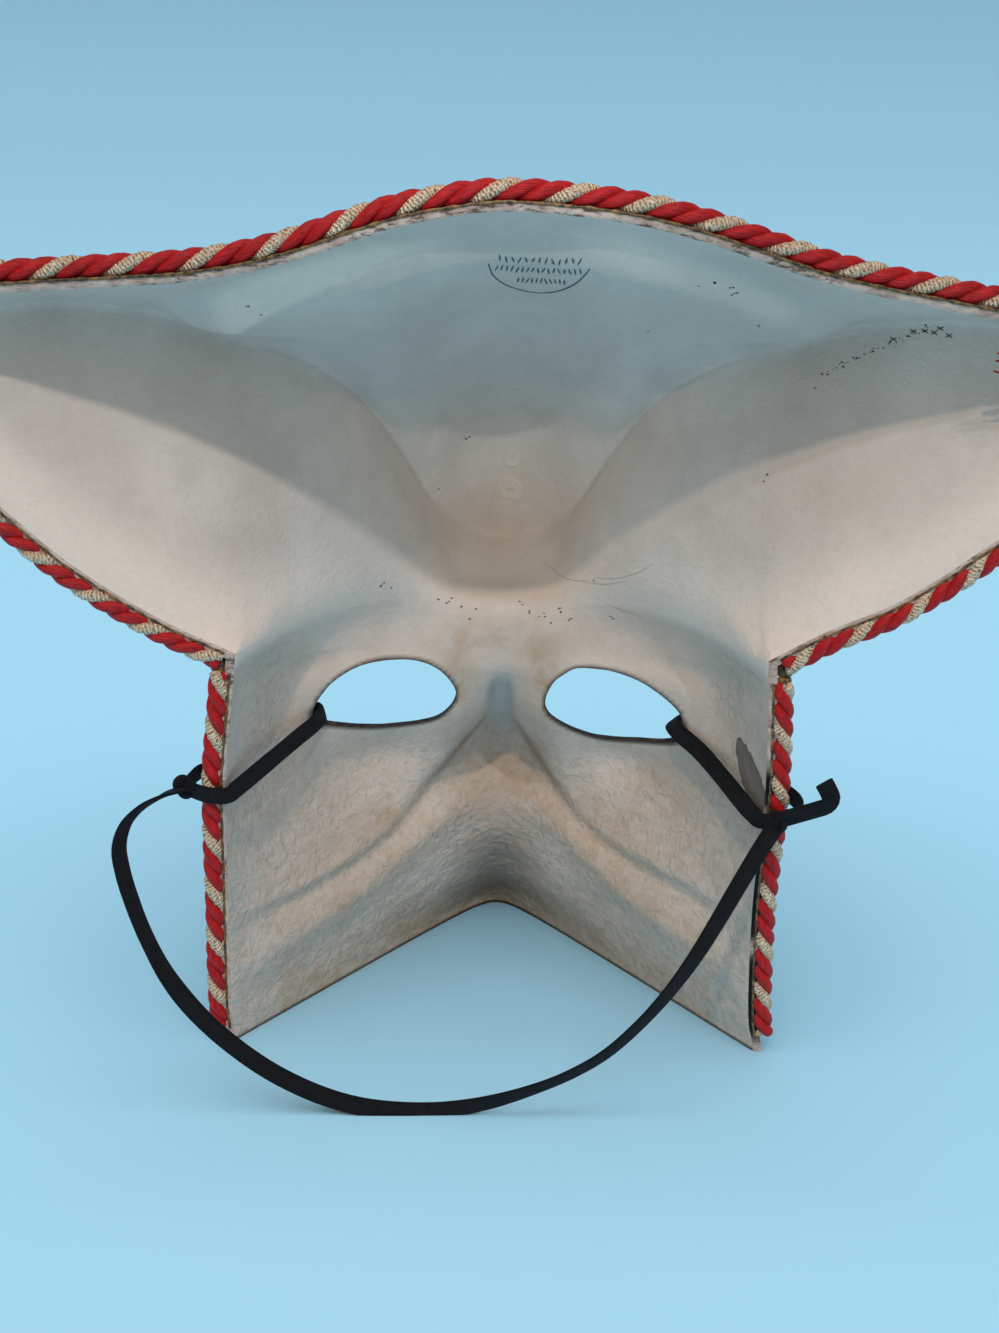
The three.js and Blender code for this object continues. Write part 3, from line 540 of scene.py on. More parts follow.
def shell_mesh():
    points, quads, rows = inner_grid()
    points, quads = merged(points, quads)
    normals = normals_of(points, quads)
    if normals[np.argmax(points[:, 1])][1] < 0:
        normals = -normals
    edges = border(quads)
    on_border = np.zeros(len(points), bool)
    on_border[edges.ravel()] = True
    x, s, z = points.T
    across = np.abs(x)
    rim = on_border & (s < 0.01)
    outward = normals.copy()
    outward[rim, 1] = 0
    outward[on_border & (z < 0.01), 2] = 0
    outward = unit(outward)
    free = smooth_step(0.5, 5, s) * smooth_step(0.5, 4, z)
    rough = 0.12 + 0.88 * smooth_step(84, 58, z)
    rough = np.maximum(rough, 0.9 * bell((across - 69) / 6) * smooth_step(120, 112, z))
    relief = rough * (SMALL_RELIEF * lumps(points, 6.5, 7.7) + FINE_RELIEF * lumps(points, 3.0, 9.3))
    relief = relief + BROAD_RELIEF * lumps(points, 17, 3.1)
    # the pulp was pressed into the prow in ripples
    arch = z + 0.6 * np.sqrt(x ** 2 + 9) + 1.6 * lumps(points, 6, 15.0)
    at_prow = smooth_step(26, 8, across) * smooth_step(4, 12, z) * smooth_step(60, 50, z)
    ripple = np.sin(2 * np.pi * arch / RIPPLE_APART) * (0.5 + lumps(points, 8, 61.0))
    relief = relief + RIPPLE_HEIGHT * at_prow * ripple
    inner = points + normals * (free * relief)[:, None]
    outer = points + outward * WALL + normals * (free * OUTSIDE_RELIEF * lumps(points, 12, 21.5))[:, None]
    # three rows of ragged points across the cut edge join the two faces
    used = np.flatnonzero(on_border)
    at_rim = rim[used]
    size, count = len(points), len(used)
    middles = []
    for share in (0.2, 0.5, 0.8):
        middle = inner[used] * (1 - share) + outer[used] * share
        ragged = np.maximum(0.0, middle[:, 1] + EDGE_RAGGED * lumps(middle, 1.7, 33.0))
        middle[:, 1] = np.where(at_rim, ragged, middle[:, 1])
        middles.append(middle)
    for face in (inner, outer):
        face[used, 1] += np.where(at_rim, EDGE_INSET, 0.0)
    place = np.searchsorted(used, edges)
    steps = [edges] + [2 * size + k * count + place for k in range(3)] + [size + edges]
    strips = [np.concatenate([near[:, ::-1], far], 1) for near, far in zip(steps, steps[1:])]
    strips = np.stack(strips, 1).reshape(-1, 4)
    faces = np.concatenate([quads, quads[:, ::-1] + size, strips]).tolist()
    outside = np.where(rows < CROWN_ROWS + BRIM_ROWS, 1, 2)
    which = np.concatenate([np.zeros(len(quads), int), outside, np.full(len(strips), 3)]).tolist()
    # a face whose corners fell together at a tip loses them, or goes
    faces = [list(dict.fromkeys(face)) for face in faces]
    keep = [i for i, face in enumerate(faces) if len(face) > 2]
    return np.concatenate([inner, outer, *middles]), [faces[i] for i in keep], [which[i] for i in keep]


def turn_outward(mesh):
    bm = bmesh.new()
    bm.from_mesh(mesh)
    bmesh.ops.recalc_face_normals(bm, faces=bm.faces)
    bm.to_mesh(mesh)
    bm.free()


MATERIALS = [gesso_inside(), hat_paint(), face_paint(), cut_paper(), knife_cut()]
shell_points, shell_faces, shell_slots = shell_mesh()
shell = mesh_object("papier_mache_shell", in_frame(shell_points), shell_faces, MATERIALS, shell_slots)
turn_outward(shell.data)

# The eye holes' outlines, as x and z, were cut after the moulding
EYE_LEFT = [(14, 90.3), (16, 96), (22, 101.2), (32, 103.3), (42, 102.8), (50, 99.8), (55.5, 94), (56.8, 88.5),
            (48, 83.2), (39, 80.6), (29, 80.5), (19, 83.2)]
EYE_RIGHT = [(-13.9, 88), (-15.8, 95), (-22, 100.6), (-31, 101.6), (-41, 100.2), (-50, 96), (-54.8, 91.5),
             (-54.6, 83.9), (-45, 79.2), (-32, 76.8), (-22, 79.8), (-15.6, 84)]
KNIFE_WANDER, KNIFE_REACH = 0.22, (10.0, 100.0)


def sampled(points, count, closed=False):
    """A smooth curve through the points, with count samples in all."""
    points = np.asarray(points, float)
    if closed:
        points = np.concatenate([points[-1:], points, points[:2]])
    else:
        points = np.concatenate([2 * points[:1] - points[1:2], points, 2 * points[-1:] - points[-2:-1]])
    steps = np.maximum(1e-9, np.linalg.norm(np.diff(points, axis=0), axis=1))
    knots = np.concatenate([[0], np.cumsum(steps ** 0.5)])
    ts = np.linspace(knots[1], knots[-2], count, endpoint=not closed)
    i = np.clip(np.searchsorted(knots, ts, side="right") - 1, 1, len(points) - 3)

    def blend(a, b, ta, tb):
        return ((tb - ts) / (tb - ta))[:, None] * a + ((ts - ta) / (tb - ta))[:, None] * b

    p, k = [points[i + d] for d in (-1, 0, 1, 2)], [knots[i + d] for d in (-1, 0, 1, 2)]
    first = [blend(p[d], p[d + 1], k[d], k[d + 1]) for d in range(3)]
    second = [blend(first[d], first[d + 1], k[d], k[d + 2]) for d in range(2)]
    return blend(second[0], second[1], k[1], k[2])


def run_along(points):
    return np.concatenate([[0], np.cumsum(np.linalg.norm(np.diff(points, axis=0), axis=1))])


def even(points, spacing):
    """The same line with its samples this far apart."""
    along = run_along(points)
    at = np.linspace(0, along[-1], max(2, int(round(along[-1] / spacing)) + 1))
    return np.stack([np.interp(at, along, points[:, k]) for k in range(points.shape[1])], -1)


for name, outline in (("left", EYE_LEFT), ("right", EYE_RIGHT)):
    ring = sampled(outline, 110, closed=True)
    n = len(ring)
    ring = ring + KNIFE_WANDER * lumps(np.c_[ring, np.zeros(n)], 5.0, 12.0)[:, None]
    near, far = (np.c_[ring[:, 0], np.full(n, s), ring[:, 1]] for s in KNIFE_REACH)
    sides = [(i, (i + 1) % n, n + (i + 1) % n, n + i) for i in range(n)]
    cutter = mesh_object("knife_" + name, in_frame(np.concatenate([near, far])),
                         sides + [tuple(range(n))[::-1], tuple(range(n, 2 * n))], [MATERIALS[4]])
    turn_outward(cutter.data)
    cut = shell.modifiers.new("cut", "BOOLEAN")
    cut.operation, cut.solver, cut.object = "DIFFERENCE", "MANIFOLD", cutter
    cut.material_mode = "TRANSFER"
    bpy.context.view_layer.update()
    holed = bpy.data.meshes.new_from_object(shell.evaluated_get(bpy.context.evaluated_depsgraph_get()))
    shell.modifiers.remove(cut)
    shell.data = holed
    bpy.data.objects.remove(cutter)


# Cut edges stay crisp and everything moulded is smooth
SHARP_ANGLE = math.radians(42)
bm = bmesh.new()
bm.from_mesh(shell.data)
for edge in bm.edges:
    edge.smooth = len(edge.link_faces) == 2 and edge.calc_face_angle(0.0) < SHARP_ANGLE
for face in bm.faces:
    face.smooth = True
bm.to_mesh(shell.data)
bm.free()

# Painted light: a whiter band runs across the hat below its rim, from notch to notch, on the facet that light
# falls on
ridge_foot_left = through((0, 231.9), (24, 230.4), (43, 223), (52, 218.6), (61, 214.2), (73, 206.5), (82, 202))
ridge_foot_right = through((0, 231.9), (11, 231.6), (26, 229.3), (40, 224.6), (55, 219.8), (67, 215),
                           (80, 212.2))
ridge_head_left = through((0, 233.5), (31, 233.5), (50, 229.7), (70, 221.4), (80, 217))
ridge_head_right = through((0, 237.6), (11, 237.6), (25, 237.8), (39, 232.8), (51, 228.5), (65, 223),
                           (79, 217.3))
# Glue that soaked through round the nose and on the cheeks: middle x and z, width, height and strength
GLUE_STAINS = ((13, 96, 7, 11, 1.0), (-12, 96, 7, 11, 1.1), (0, 110, 30, 7, 0.55), (0, 58, 14, 8, 0.3),
               (-13, 70, 5, 14, 0.8), (13, 72, 5, 12, 0.6), (36, 50, 14, 6, 0.75), (-34, 48, 12, 8, 0.8),
               (52, 44, 14, 5, 0.35), (-46, 74, 9, 20, 0.35), (52, 108, 12, 6, 0.3))
# Chips in the black paint of the right strip, as height and half height, and dirt on the left notch's edge
PAINT_CHIPS = ((73, 6), (36, 2.5), (0, 4))
NOTCH_DIRT = (70, 226, 22, 12, 0.6)


def paint(name, values):
    layer = shell.data.attributes.new(name, "FLOAT", "POINT")
    layer.data.foreach_set("value", np.clip(values, 0, 1).astype(np.float32))


def to_outline(p, outline):
    ring = sampled(outline, 160, closed=True)
    return np.sqrt(((p[:, None, [0, 2]] - ring[None]) ** 2).sum(-1)).min(1)


p = np.empty(len(shell.data.vertices) * 3)
shell.data.vertices.foreach_get("co", p)
p = p.reshape(-1, 3) * 1000
p[:, 1] = RIM_Y - p[:, 1]
x, s, z = p.T
out = np.abs(x)
near_eye = np.full(len(p), 9.0)
close = (out < 66) & (z > 68) & (z < 112)
near_eye[close] = np.minimum(to_outline(p[close], EYE_LEFT), to_outline(p[close], EYE_RIGHT))
# darker towards the bottom of the face and along the prow's groove: partly glue stain, partly painted shade
low = (0.5 * smooth_step(26, 2, z) + 0.3 * bell((z - prow_z(out)) / 6)) * (out < 66)
paint("glue_stain_and_shade", 0.62 * sum(blob(x, z, stain) for stain in GLUE_STAINS) + low)
above_crease = z - crease_z(out)
# painted shade: brown in the prow's hollow, along the cheeks' folds and along the hat's crease; and a darker
# band along the bottom edge
prow_shade = blob(x, z, (0, 26, 15, 20, 0.5)) * smooth_step(50, 75, s) + blob(x, z, (0, 6, 34, 10, 0.45))
fold_shade = 0.42 * bell((z - by_side(x, left_fold, right_fold, out)) / 2.6) * (z < 86)
fold_shade = fold_shade * smooth_step(3, 7, out) * smooth_step(30, 16, out)
crease_shade = 0.14 * bell(above_crease / 0.8) * smooth_step(20, 28, out) * smooth_step(76, 62, out) * (s > 22)
paint("painted_deep_shade", crease_shade + prow_shade + fold_shade + 0.7 * smooth_step(1.6, 0.3, z))
# painted shade: cool blue-grey, standing in for the floor's blue reflection, on the nose's bridge and on the
# crown's ceiling
paint("painted_cool_shade", 0.4 * smooth_step(5.0, 2.6, out) * smooth_step(97, 92, z) * smooth_step(60, 76, z)
      + 0.3 * smooth_step(158, 192, z) * smooth_step(-6, 6, above_crease - 2))
# painted light: the wings' flaps, the brim by the brow and the crown's low wall are painted whiter where light
# falls
on_flap = smooth_step(1, 5, -above_crease) * smooth_step(119, 124, z)
on_wall = smooth_step(0.5, 2.5, above_crease) * smooth_step(171, 166, z) * smooth_step(60, 70, s)
by_wing = smooth_step(30, 60, out) * smooth_step(26, 6, z - np.maximum(124.0, wing_z(x)))
by_brow = 0.3 * smooth_step(70, 30, out) * smooth_step(138, 126, z)
paint("painted_light", on_flap * (by_wing + by_brow) + 0.15 * on_wall)
# painted light on the band's facet below the rim
above_foot = z - by_side(x, ridge_foot_left, ridge_foot_right, out)
above_head = z - by_side(x, ridge_head_left, ridge_head_right, out)
ridge = smooth_step(-1, 1, above_foot / np.where(x > 0, 1.0, 3.0)) * smooth_step(3, -3, above_head)
ridge = ridge * smooth_step(6, 34, out) * smooth_step(0, 2, above_crease) * (s < 45)
ridge = ridge * np.where(x > 0, 0.5 * smooth_step(82, 74, out), 0.36 * smooth_step(84, 68, out))
paint("painted_facet_light", ridge)
paint("rough_pulp", 0.22 + 0.78 * smooth_step(86, 60, z) + 0.8 * bell((out - 68) / 6) * (z < 118))
paint("cut_line", 0.85 * smooth_step(1.5, 0.3, near_eye) + 0.7 * smooth_step(1.3, 0.2, z))
paint("glaze", 0.5 * bell((near_eye - 0.5) / 3) + 0.3 * bell(s / 9))
paint("black_border", smooth_step(14.0, 3.0, s))
smeared = 0.25 + 0.75 * smooth_step(-0.75, -0.35, lumps(p, 7.0, 41.0))
chipped = sum(bell((z - height) / half) for height, half in PAINT_CHIPS)
paint("black_paint", (x < -60) * smooth_step(98, 91, z) * smeared * np.clip(1 - chipped, 0, 1))
by_notch = blob(x, z, NOTCH_DIRT) + 0.7 * smooth_step(86, 76, out) * (z > 105)
paint("dirty_edge", 0.35 + 0.6 * smooth_step(0.0, 0.5, lumps(p, 16.0, 52.0)) + by_notch)
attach(shell, "root")
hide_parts("mask_shell")


# Marks on the inside: a round stamp in dark ink, made of an arc and rows of short strokes, then specks and
# dotted runs of paint and dirt, hairline scratches and drops of gesso. Each is a thin skin lying on the gesso.
# Lines and places as x and z seen from straight behind; rows as height, first and last x, and strokes
STAMP_ARC = [(5.6, 228.2), (4.6, 224.6), (1.6, 221.2), (-3.0, 218.9), (-8.4, 218.2), (-13.4, 219.6),
             (-17.2, 222.6), (-19.6, 226.2), (-20.4, 227.8)]
STAMP_ROWS = [(229.2, 3.6, -18.6, 13), (226.2, 4.2, -18.8, 17), (222.6, -1.6, -15.0, 11)]
STAMP_MIDDLE_X, STAMP_SAG = -7.8, 0.0045
SPECKS = [(19.4, 120.8), (16.5, 119.6), (12.6, 118.4), (8.5, 116.6), (9.8, 114.5), (-5.4, 118.5),
          (-8.2, 117.0), (-11.0, 115.2), (-14.7, 113.5), (-13.0, 116.2), (-17.5, 118.0), (-20.5, 115.4),
          (-33, 117.5), (36.6, 127.4), (34.8, 126.6), (68.8, 215.0), (66.4, 213.2), (-49.4, 223.6),
          (-53.0, 224.2), (-57.0, 222.8), (-58.6, 221.6), (-72.5, 168.7), (-73.2, 170.9), (-85.7, 193.7),
          (-66, 212), (-39, 208), (-27.8, 128.5), (22, 148), (-3, 181), (12, 163)]
DOTTED_RUN = [(-87.2, 197.6), (-90.9, 200.6), (-94, 203), (-98.1, 205.5), (-102.8, 207.8), (-107.8, 210.3),
              (-112.1, 212.2)]
DOTS_BETWEEN, DOTS_WIDE, DOTS_HIGH = 24, 25.0, 14.6
SCRATCHES = [[(-27.5, 129.4), (-34, 130.8), (-40, 134.2), (-44.5, 138.4)],
             [(-24, 127.2), (-31, 128.2), (-37, 130.6)], [(-12, 126.0), (-20, 126.4), (-26, 128.0)],
             [(-32, 121.5), (-42, 119.5)]]
CROSSES = [(-103.8, 208.6), (-108.6, 211.0), (-111.4, 211.4), (-113.6, 211.2), (-115.0, 212.4),
           (-117.2, 210.8)]
# Drops as x, z and radius, and their section as share of the radius and height above the gesso
DROPS = [(-1.9, 144.0, 4.2), (-2.0, 155.0, 3.2), (-4.6, 151.0, 1.6)]
DROP_SECTION = [(0.02, 0.16), (0.45, 0.18), (0.78, 0.26), (0.92, 0.28), (1.0, 0.02)]
DROP_SIDES = 28


def on_inside(line, lift=0.06):
    """Where a line given in x and z lies on the shell's inside, and which way the surface faces there."""
    places, facing = [], []
    for x, z in line:
        from_behind = Vector((x / 1000, 0.2, z / 1000))
        hit, place, normal, _ = shell.ray_cast(from_behind, Vector((0, -1, 0)))
        if hit and normal.y > 0.02:
            places.append((place + normal * lift / 1000) * 1000)
            facing.append(normal)
    return np.array([(p.x, RIM_Y - p.y, p.z) for p in places]), np.array([(n.x, -n.y, n.z) for n in facing])


def inked(lines):
    """Flat strips along the lines, each a list of points in x and z and a width in mm."""
    points, faces = [], []
    for line, width in lines:
        line, facing = on_inside(line)
        if len(line) < 2:
            continue
        across = unit(np.cross(unit(np.gradient(line, axis=0)), facing))
        taper = np.sin(np.linspace(0.25, np.pi - 0.25, len(line)))[:, None] ** 0.5
        start, n = sum(len(p) for p in points), len(line)
        points.append(np.concatenate([line - across * taper * width / 2, line + across * taper * width / 2]))
        faces += [(start + i, start + i + 1, start + n + i + 1, start + n + i) for i in range(n - 1)]
    return in_frame(np.concatenate(points)), faces


def ink(name, dark, light, size):
    """Thin dried ink or paint on chalk: broken where the grain stood proud of it."""
    made, tree = new_material(name)
    place = add(tree, "TexCoord", out="Object")
    worn = add(tree, "TexNoise", {"Vector": place, "Scale": per_mm(size), "Detail": 3.0, "Roughness": 0.7})
    colour = add(tree, "ValToRGB", {0: worn}, stops=((0.35, dark), (0.62, light)))
    bump = add(tree, "Bump", {"Height": worn, "Strength": 0.5, "Distance": 0.0001})
    shader = add(tree, "BsdfPrincipled", {"Base Color": colour, "Normal": bump, "Roughness": 0.7, "IOR": 1.5})
    add(tree, "OutputMaterial", {"Surface": shader})
    return made


rng = random.Random(5)
stamp = [(even(sampled(STAMP_ARC, 60), 0.6), 0.6)]
for height, first, last, count in STAMP_ROWS:
    for k in range(count):
        x = first + (last - first) * (k + 0.5) / count
        lean, tall = rng.uniform(-0.45, 0.45), rng.uniform(1.5, 2.0)
        z = height + STAMP_SAG * (x - STAMP_MIDDLE_X) ** 2 + rng.uniform(-0.2, 0.2)
        stamp.append(([(x - lean, z - tall / 2), (x, z), (x + lean, z + tall / 2)], 0.5))
        if rng.random() < 0.55:
            stamp.append(([(x - 0.5, z + rng.uniform(-0.5, 0.5)), (x + 0.5, z + rng.uniform(-0.5, 0.5))], 0.3))
points, faces = inked(stamp)
stamp = mesh_object("ink_stamp", points, faces, [ink("stamp_ink", "#21404F", "#4A6672", 0.8)])
dirt = []
for x, z in SPECKS + DOTTED_RUN:
    for _ in range(rng.choice((1, 1, 2, 3))):
        a, b = x + rng.uniform(-0.9, 0.9), z + rng.uniform(-0.7, 0.7)
        dirt.append(([(a - 0.3, b), (a, b + 0.1), (a + 0.3, b)], rng.uniform(0.35, 0.75)))
first_x, first_z = DOTTED_RUN[0]
for k in range(DOTS_BETWEEN):
    t = (k + rng.uniform(0.1, 0.9)) / DOTS_BETWEEN
    x, z = first_x - DOTS_WIDE * t, first_z + DOTS_HIGH * t ** 0.85 + rng.uniform(-0.5, 0.5)
    dirt.append(([(x - 0.2, z), (x, z + 0.05), (x + 0.2, z)], rng.uniform(0.22, 0.42)))
for x, z in CROSSES:
    for lean in (-1, 1):
        dirt.append(([(x - 0.8, z - lean * 0.5), (x, z), (x + 0.8, z + lean * 0.5)], 0.4))
points, faces = inked(dirt)
dirt = mesh_object("paint_specks", points, faces, [ink("spattered_paint", "#2A2420", "#6A5A4A", 0.9)])
points, faces = inked([(even(sampled(line, 40), 0.8), 0.14) for line in SCRATCHES])
scratches = mesh_object("hairline_scratches", points, faces,
                        [ink("scratched_gesso", "#8F7F6E", "#B3A494", 0.9)])
rings, faces = [], []
turn = np.linspace(0, 2 * np.pi, DROP_SIDES, endpoint=False)
for x, z, radius in DROPS:
    start = DROP_SIDES * len(rings)
    for share, lift in DROP_SECTION:
        wavy = radius * share * (1 + 0.05 * np.sin(2 * turn + z) + 0.03 * np.sin(5 * turn))
        rings.append(on_inside(zip(x + wavy * np.cos(turn), z + wavy * np.sin(turn)), lift)[0])
    for i in range(start, start + DROP_SIDES * (len(DROP_SECTION) - 1), DROP_SIDES):
        for j in range(DROP_SIDES):
            k = (j + 1) % DROP_SIDES
            faces.append((i + j, i + k, i + DROP_SIDES + k, i + DROP_SIDES + j))
    faces.append(tuple(start + j for j in range(DROP_SIDES)))
drops = mesh_object("dried_gesso_drops", in_frame(np.concatenate(rings)), faces,
                    [ink("yellowed_gesso_drop", "#DCCFBC", "#E6DACC", 5.0)])
for piece in (stamp, dirt, scratches, drops):
    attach(piece, "root")


# The rope trim: three strands laid together, two of red rayon and one of gold metal yarn over a cotton core.
# It is cut in five lengths, each 6 mm thick, and glued along the outer corner of the trimmed edge.
# How far each rope's middle lies outside the edge, and how far forward of the rim
TOP_OUT, WING_OUT, LEFT_OUT, RIGHT_OUT = 4.75, 3.9, 3.9, 4.1
TOP_S, LOWER_S = 3.2, 1.6
ROPE_FOOT_Z, ROPE_TOP_Z = 4.5, 119.4
STRAND_RADIUS, STRAND_OFFSET, STRAND_SIDES = 1.66, 1.5, 18
ROPE_STEP = 0.62
TIP_ANGLE = math.pi / 2 - 0.02
WING_ROPE_START = math.asin(75.0 / TIP_X)


def beside_edge(edge, t, out, s):
    """A line this far outside an edge and this far forward of the rim."""
    (x, z), (xa, za), (xb, zb) = edge(t), edge(t - 0.01), edge(t + 0.01)
    length = np.hypot(xb - xa, zb - za)
    return np.stack([x - (zb - za) * out / length, np.full_like(x, s), z + (xb - xa) * out / length], -1)


def frames(line):
    """Tangent, and two directions across it that turn as little as they can."""
    tangent = unit(np.gradient(line, axis=0))
    across = np.zeros_like(line)
    across[0] = unit(np.cross(tangent[0], (0.3, 1.0, 0.1)))
    for i in range(1, len(line)):
        across[i] = unit(across[i - 1] - tangent[i] * across[i - 1].dot(tangent[i]))
    return tangent, across, np.cross(tangent, across)


def swept(name, lines, materials, sides, section):
    """Sweeps a section along lines, each with its slot and frames; its map holds the way along and round."""
    points, faces, slots, places = [], [], [], []
    angles = np.linspace(0, 2 * np.pi, sides, endpoint=False)
    for line, slot, (_, a, b) in lines:
        along = run_along(line)
        u, v = (np.broadcast_to(offset, (len(line), sides))[..., None]
                for offset in section(angles[None, :], along[:, None], along[-1], slot))
        start = sum(len(p) for p in points)
        points.append((line[:, None] + u * a[:, None] + v * b[:, None]).reshape(-1, 3))
        i, j = (n.ravel() for n in np.meshgrid(np.arange(len(line) - 1), np.arange(sides), indexing="ij"))
        near, far, k = start + i * sides, start + (i + 1) * sides, (j + 1) % sides
        faces += np.stack([near + j, near + k, far + k, far + j], -1).tolist()
        last = start + (len(line) - 1) * sides
        faces += [list(range(start, start + sides))[::-1], list(range(last, last + sides))]
        slots += [slot] * (len(i) + 2)
        corners = ((0, 0), (0, 1), (1, 1), (1, 0))
        corners = [np.stack([along[i + di], (j + dj) / sides], -1) for di, dj in corners]
        places += [np.stack(corners, 1).ravel(), np.zeros(4 * sides)]
    made = mesh_object(name, in_frame(np.concatenate(points)), faces, materials, slots)
    made.data.uv_layers.new(name="yarn").data.foreach_set("uv", np.concatenate(places).astype(np.float32))
    return made


def rayon():
    """Red artificial silk: fine parallel filaments with a soft lustre, wine-dark deep between the strands."""
    made, tree = new_material("red_rayon")
    yarn = add(tree, "UVMap", uv_map="yarn")
    along = add(tree, "SeparateXYZ", {0: yarn}, out="X")
    around = add(tree, "SeparateXYZ", {0: yarn}, out="Y")
    # filaments 0.3 mm apart, coarser than real ones, so that they show
    lane = add(tree, "Math", {0: around, 1: 30.0}, operation="MULTIPLY")
    lane = add(tree, "Math", {0: along, 1: 0.9, 2: lane}, operation="MULTIPLY_ADD")
    drawn_out = add(tree, "Math", {0: along, 1: 0.35}, operation="MULTIPLY")
    lane = add(tree, "CombineXYZ", {"X": drawn_out, "Y": lane})
    thread = add(tree, "TexNoise", {"Vector": lane, "Scale": 1.0, "Detail": 2.0, "Roughness": 0.6})
    colour = add(tree, "ValToRGB", {0: thread}, stops=((0.3, "#8C060C"), (0.66, "#DE1A1E")))
    place = add(tree, "TexCoord", out="Object")
    handled = add(tree, "TexNoise", {"Vector": place, "Scale": per_mm(7), "Detail": 3.0})
    handled = add(tree, "ValToRGB", {0: handled}, stops=((0.45, 0.0), (0.75, 0.4)))
    colour = add(tree, "Mix", {0: handled, 6: colour, 7: linear("#7E060E")}, out=2, data_type="RGBA")
    bump = add(tree, "Bump", {"Height": thread, "Strength": 1.0, "Distance": 0.00035})
    shader = add(tree, "BsdfPrincipled", {
        "Base Color": colour, "Normal": bump, "Roughness": 0.48, "IOR": 1.5, "Specular IOR Level": 0.35,
        "Anisotropic": 0.4, "Sheen Weight": 0.15, "Sheen Roughness": 0.4, "Sheen Tint": linear("#FF5048")})
    add(tree, "OutputMaterial", {"Surface": shader})
    return made


def gold_yarn():
    """Metal film wound on cotton: pale gold on cream, with painted glints, and painted shade brown in the gaps
    between the turns.
    """
    made, tree = new_material("gold_metal_yarn")
    yarn = add(tree, "UVMap", uv_map="yarn")
    along = add(tree, "SeparateXYZ", {0: yarn}, out="X")
    around = add(tree, "SeparateXYZ", {0: yarn}, out="Y")
    place = add(tree, "TexCoord", out="Object")
    # turns of the film 0.85 mm apart, uneven by hand
    loose = add(tree, "TexNoise", {"Vector": place, "Scale": per_mm(1.5), "Detail": 2.0})
    turns = add(tree, "Math", {0: along, 1: 7.4}, operation="MULTIPLY")
    turns = add(tree, "Math", {0: around, 1: 4 * math.pi, 2: turns}, operation="MULTIPLY_ADD")
    turns = add(tree, "Math", {0: loose, 1: 9.0, 2: turns}, operation="MULTIPLY_ADD")
    ridge = add(tree, "Math", {0: turns}, operation="SINE")
    ridge = add(tree, "Math", {0: ridge, 1: 0.5, 2: 0.5}, operation="MULTIPLY_ADD")
    # painted glints: specks of pale highlight
    painted_glint = add(tree, "TexNoise", {"Vector": place, "Scale": per_mm(0.6), "Detail": 2.0, "Roughness": 0.6})
    painted_glint = add(tree, "ValToRGB", {0: painted_glint}, stops=((0.44, 0.0), (0.58, 0.85)))
    # painted shade: the film is lighter on each turn's crest and brown in the gaps
    colour = add(tree, "ValToRGB", {0: ridge}, stops=((0.08, "#8E5A38"), (0.6, "#F4D2A8")))
    colour = add(tree, "Mix", {0: painted_glint, 6: colour, 7: linear("#FFF0D6")}, out=2, data_type="RGBA")
    height = add(tree, "Math", {0: painted_glint, 1: 0.5, 2: ridge}, operation="MULTIPLY_ADD")
    bump = add(tree, "Bump", {"Height": height, "Strength": 1.0, "Distance": 0.0003})
    shader = add(tree, "BsdfPrincipled", {
        "Base Color": colour, "Normal": bump, "Roughness": 0.38, "Metallic": 0.15, "IOR": 1.5,
        "Specular IOR Level": 0.6})
    add(tree, "OutputMaterial", {"Surface": shader})
    return made


ROPE_MATERIALS = [rayon(), gold_yarn()]


def strand_section(angles, along, total, slot):
    taper = np.clip(np.minimum(along, total - along) / 0.8, 0, 1) ** 0.5
    if slot == 1:
        # turns of the metal film
        ridges = 1 + 0.07 * np.sin(2 * np.pi * along / 1.05 + 2 * angles)
    else:
        # seven yarns with a slow twist of their own
        ridges = 1 + 0.025 * np.cos(7 * (angles - 2 * np.pi * along / 24))
        ridges = ridges + 0.012 * np.cos(3 * angles + along / 3.7)
    radius = STRAND_RADIUS * (0.35 + 0.65 * taper) * ridges
    return radius * np.cos(angles), radius * np.sin(angles)


def twisted_rope(place, centre, lay, gold_turn):
    centre = even(centre, ROPE_STEP)
    _, a, b = frames(centre)
    along = run_along(centre)
    lines = []
    for k in range(3):
        turn = gold_turn + 2 * np.pi * (k / 3 + along / lay)
        line = centre + STRAND_OFFSET * (np.cos(turn)[:, None] * a + np.sin(turn)[:, None] * b)
        lines.append((line, 1 if k == 0 else 0, frames(line)))
    made = swept("twisted_rope_" + place, lines, ROPE_MATERIALS, STRAND_SIDES, strand_section)
    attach(made, "root")
    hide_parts("rope_" + place)


def top_edge(angle):
    x = TIP_X * np.sin(angle)
    return x, rim_z(x)


def wing_edge(side):
    def at(angle):
        x = side * TIP_X * np.sin(angle)
        return x, wing_z(x)
    return at


def side_edge(side):
    def at(z):
        return side * half_width(np.full_like(z, side), z), z
    return at


TOP_RUN = np.linspace(-TIP_ANGLE, TIP_ANGLE, 900)
WING_RUN = np.linspace(WING_ROPE_START, TIP_ANGLE, 400)
SIDE_RUN = np.linspace(ROPE_FOOT_Z, ROPE_TOP_Z, 400)
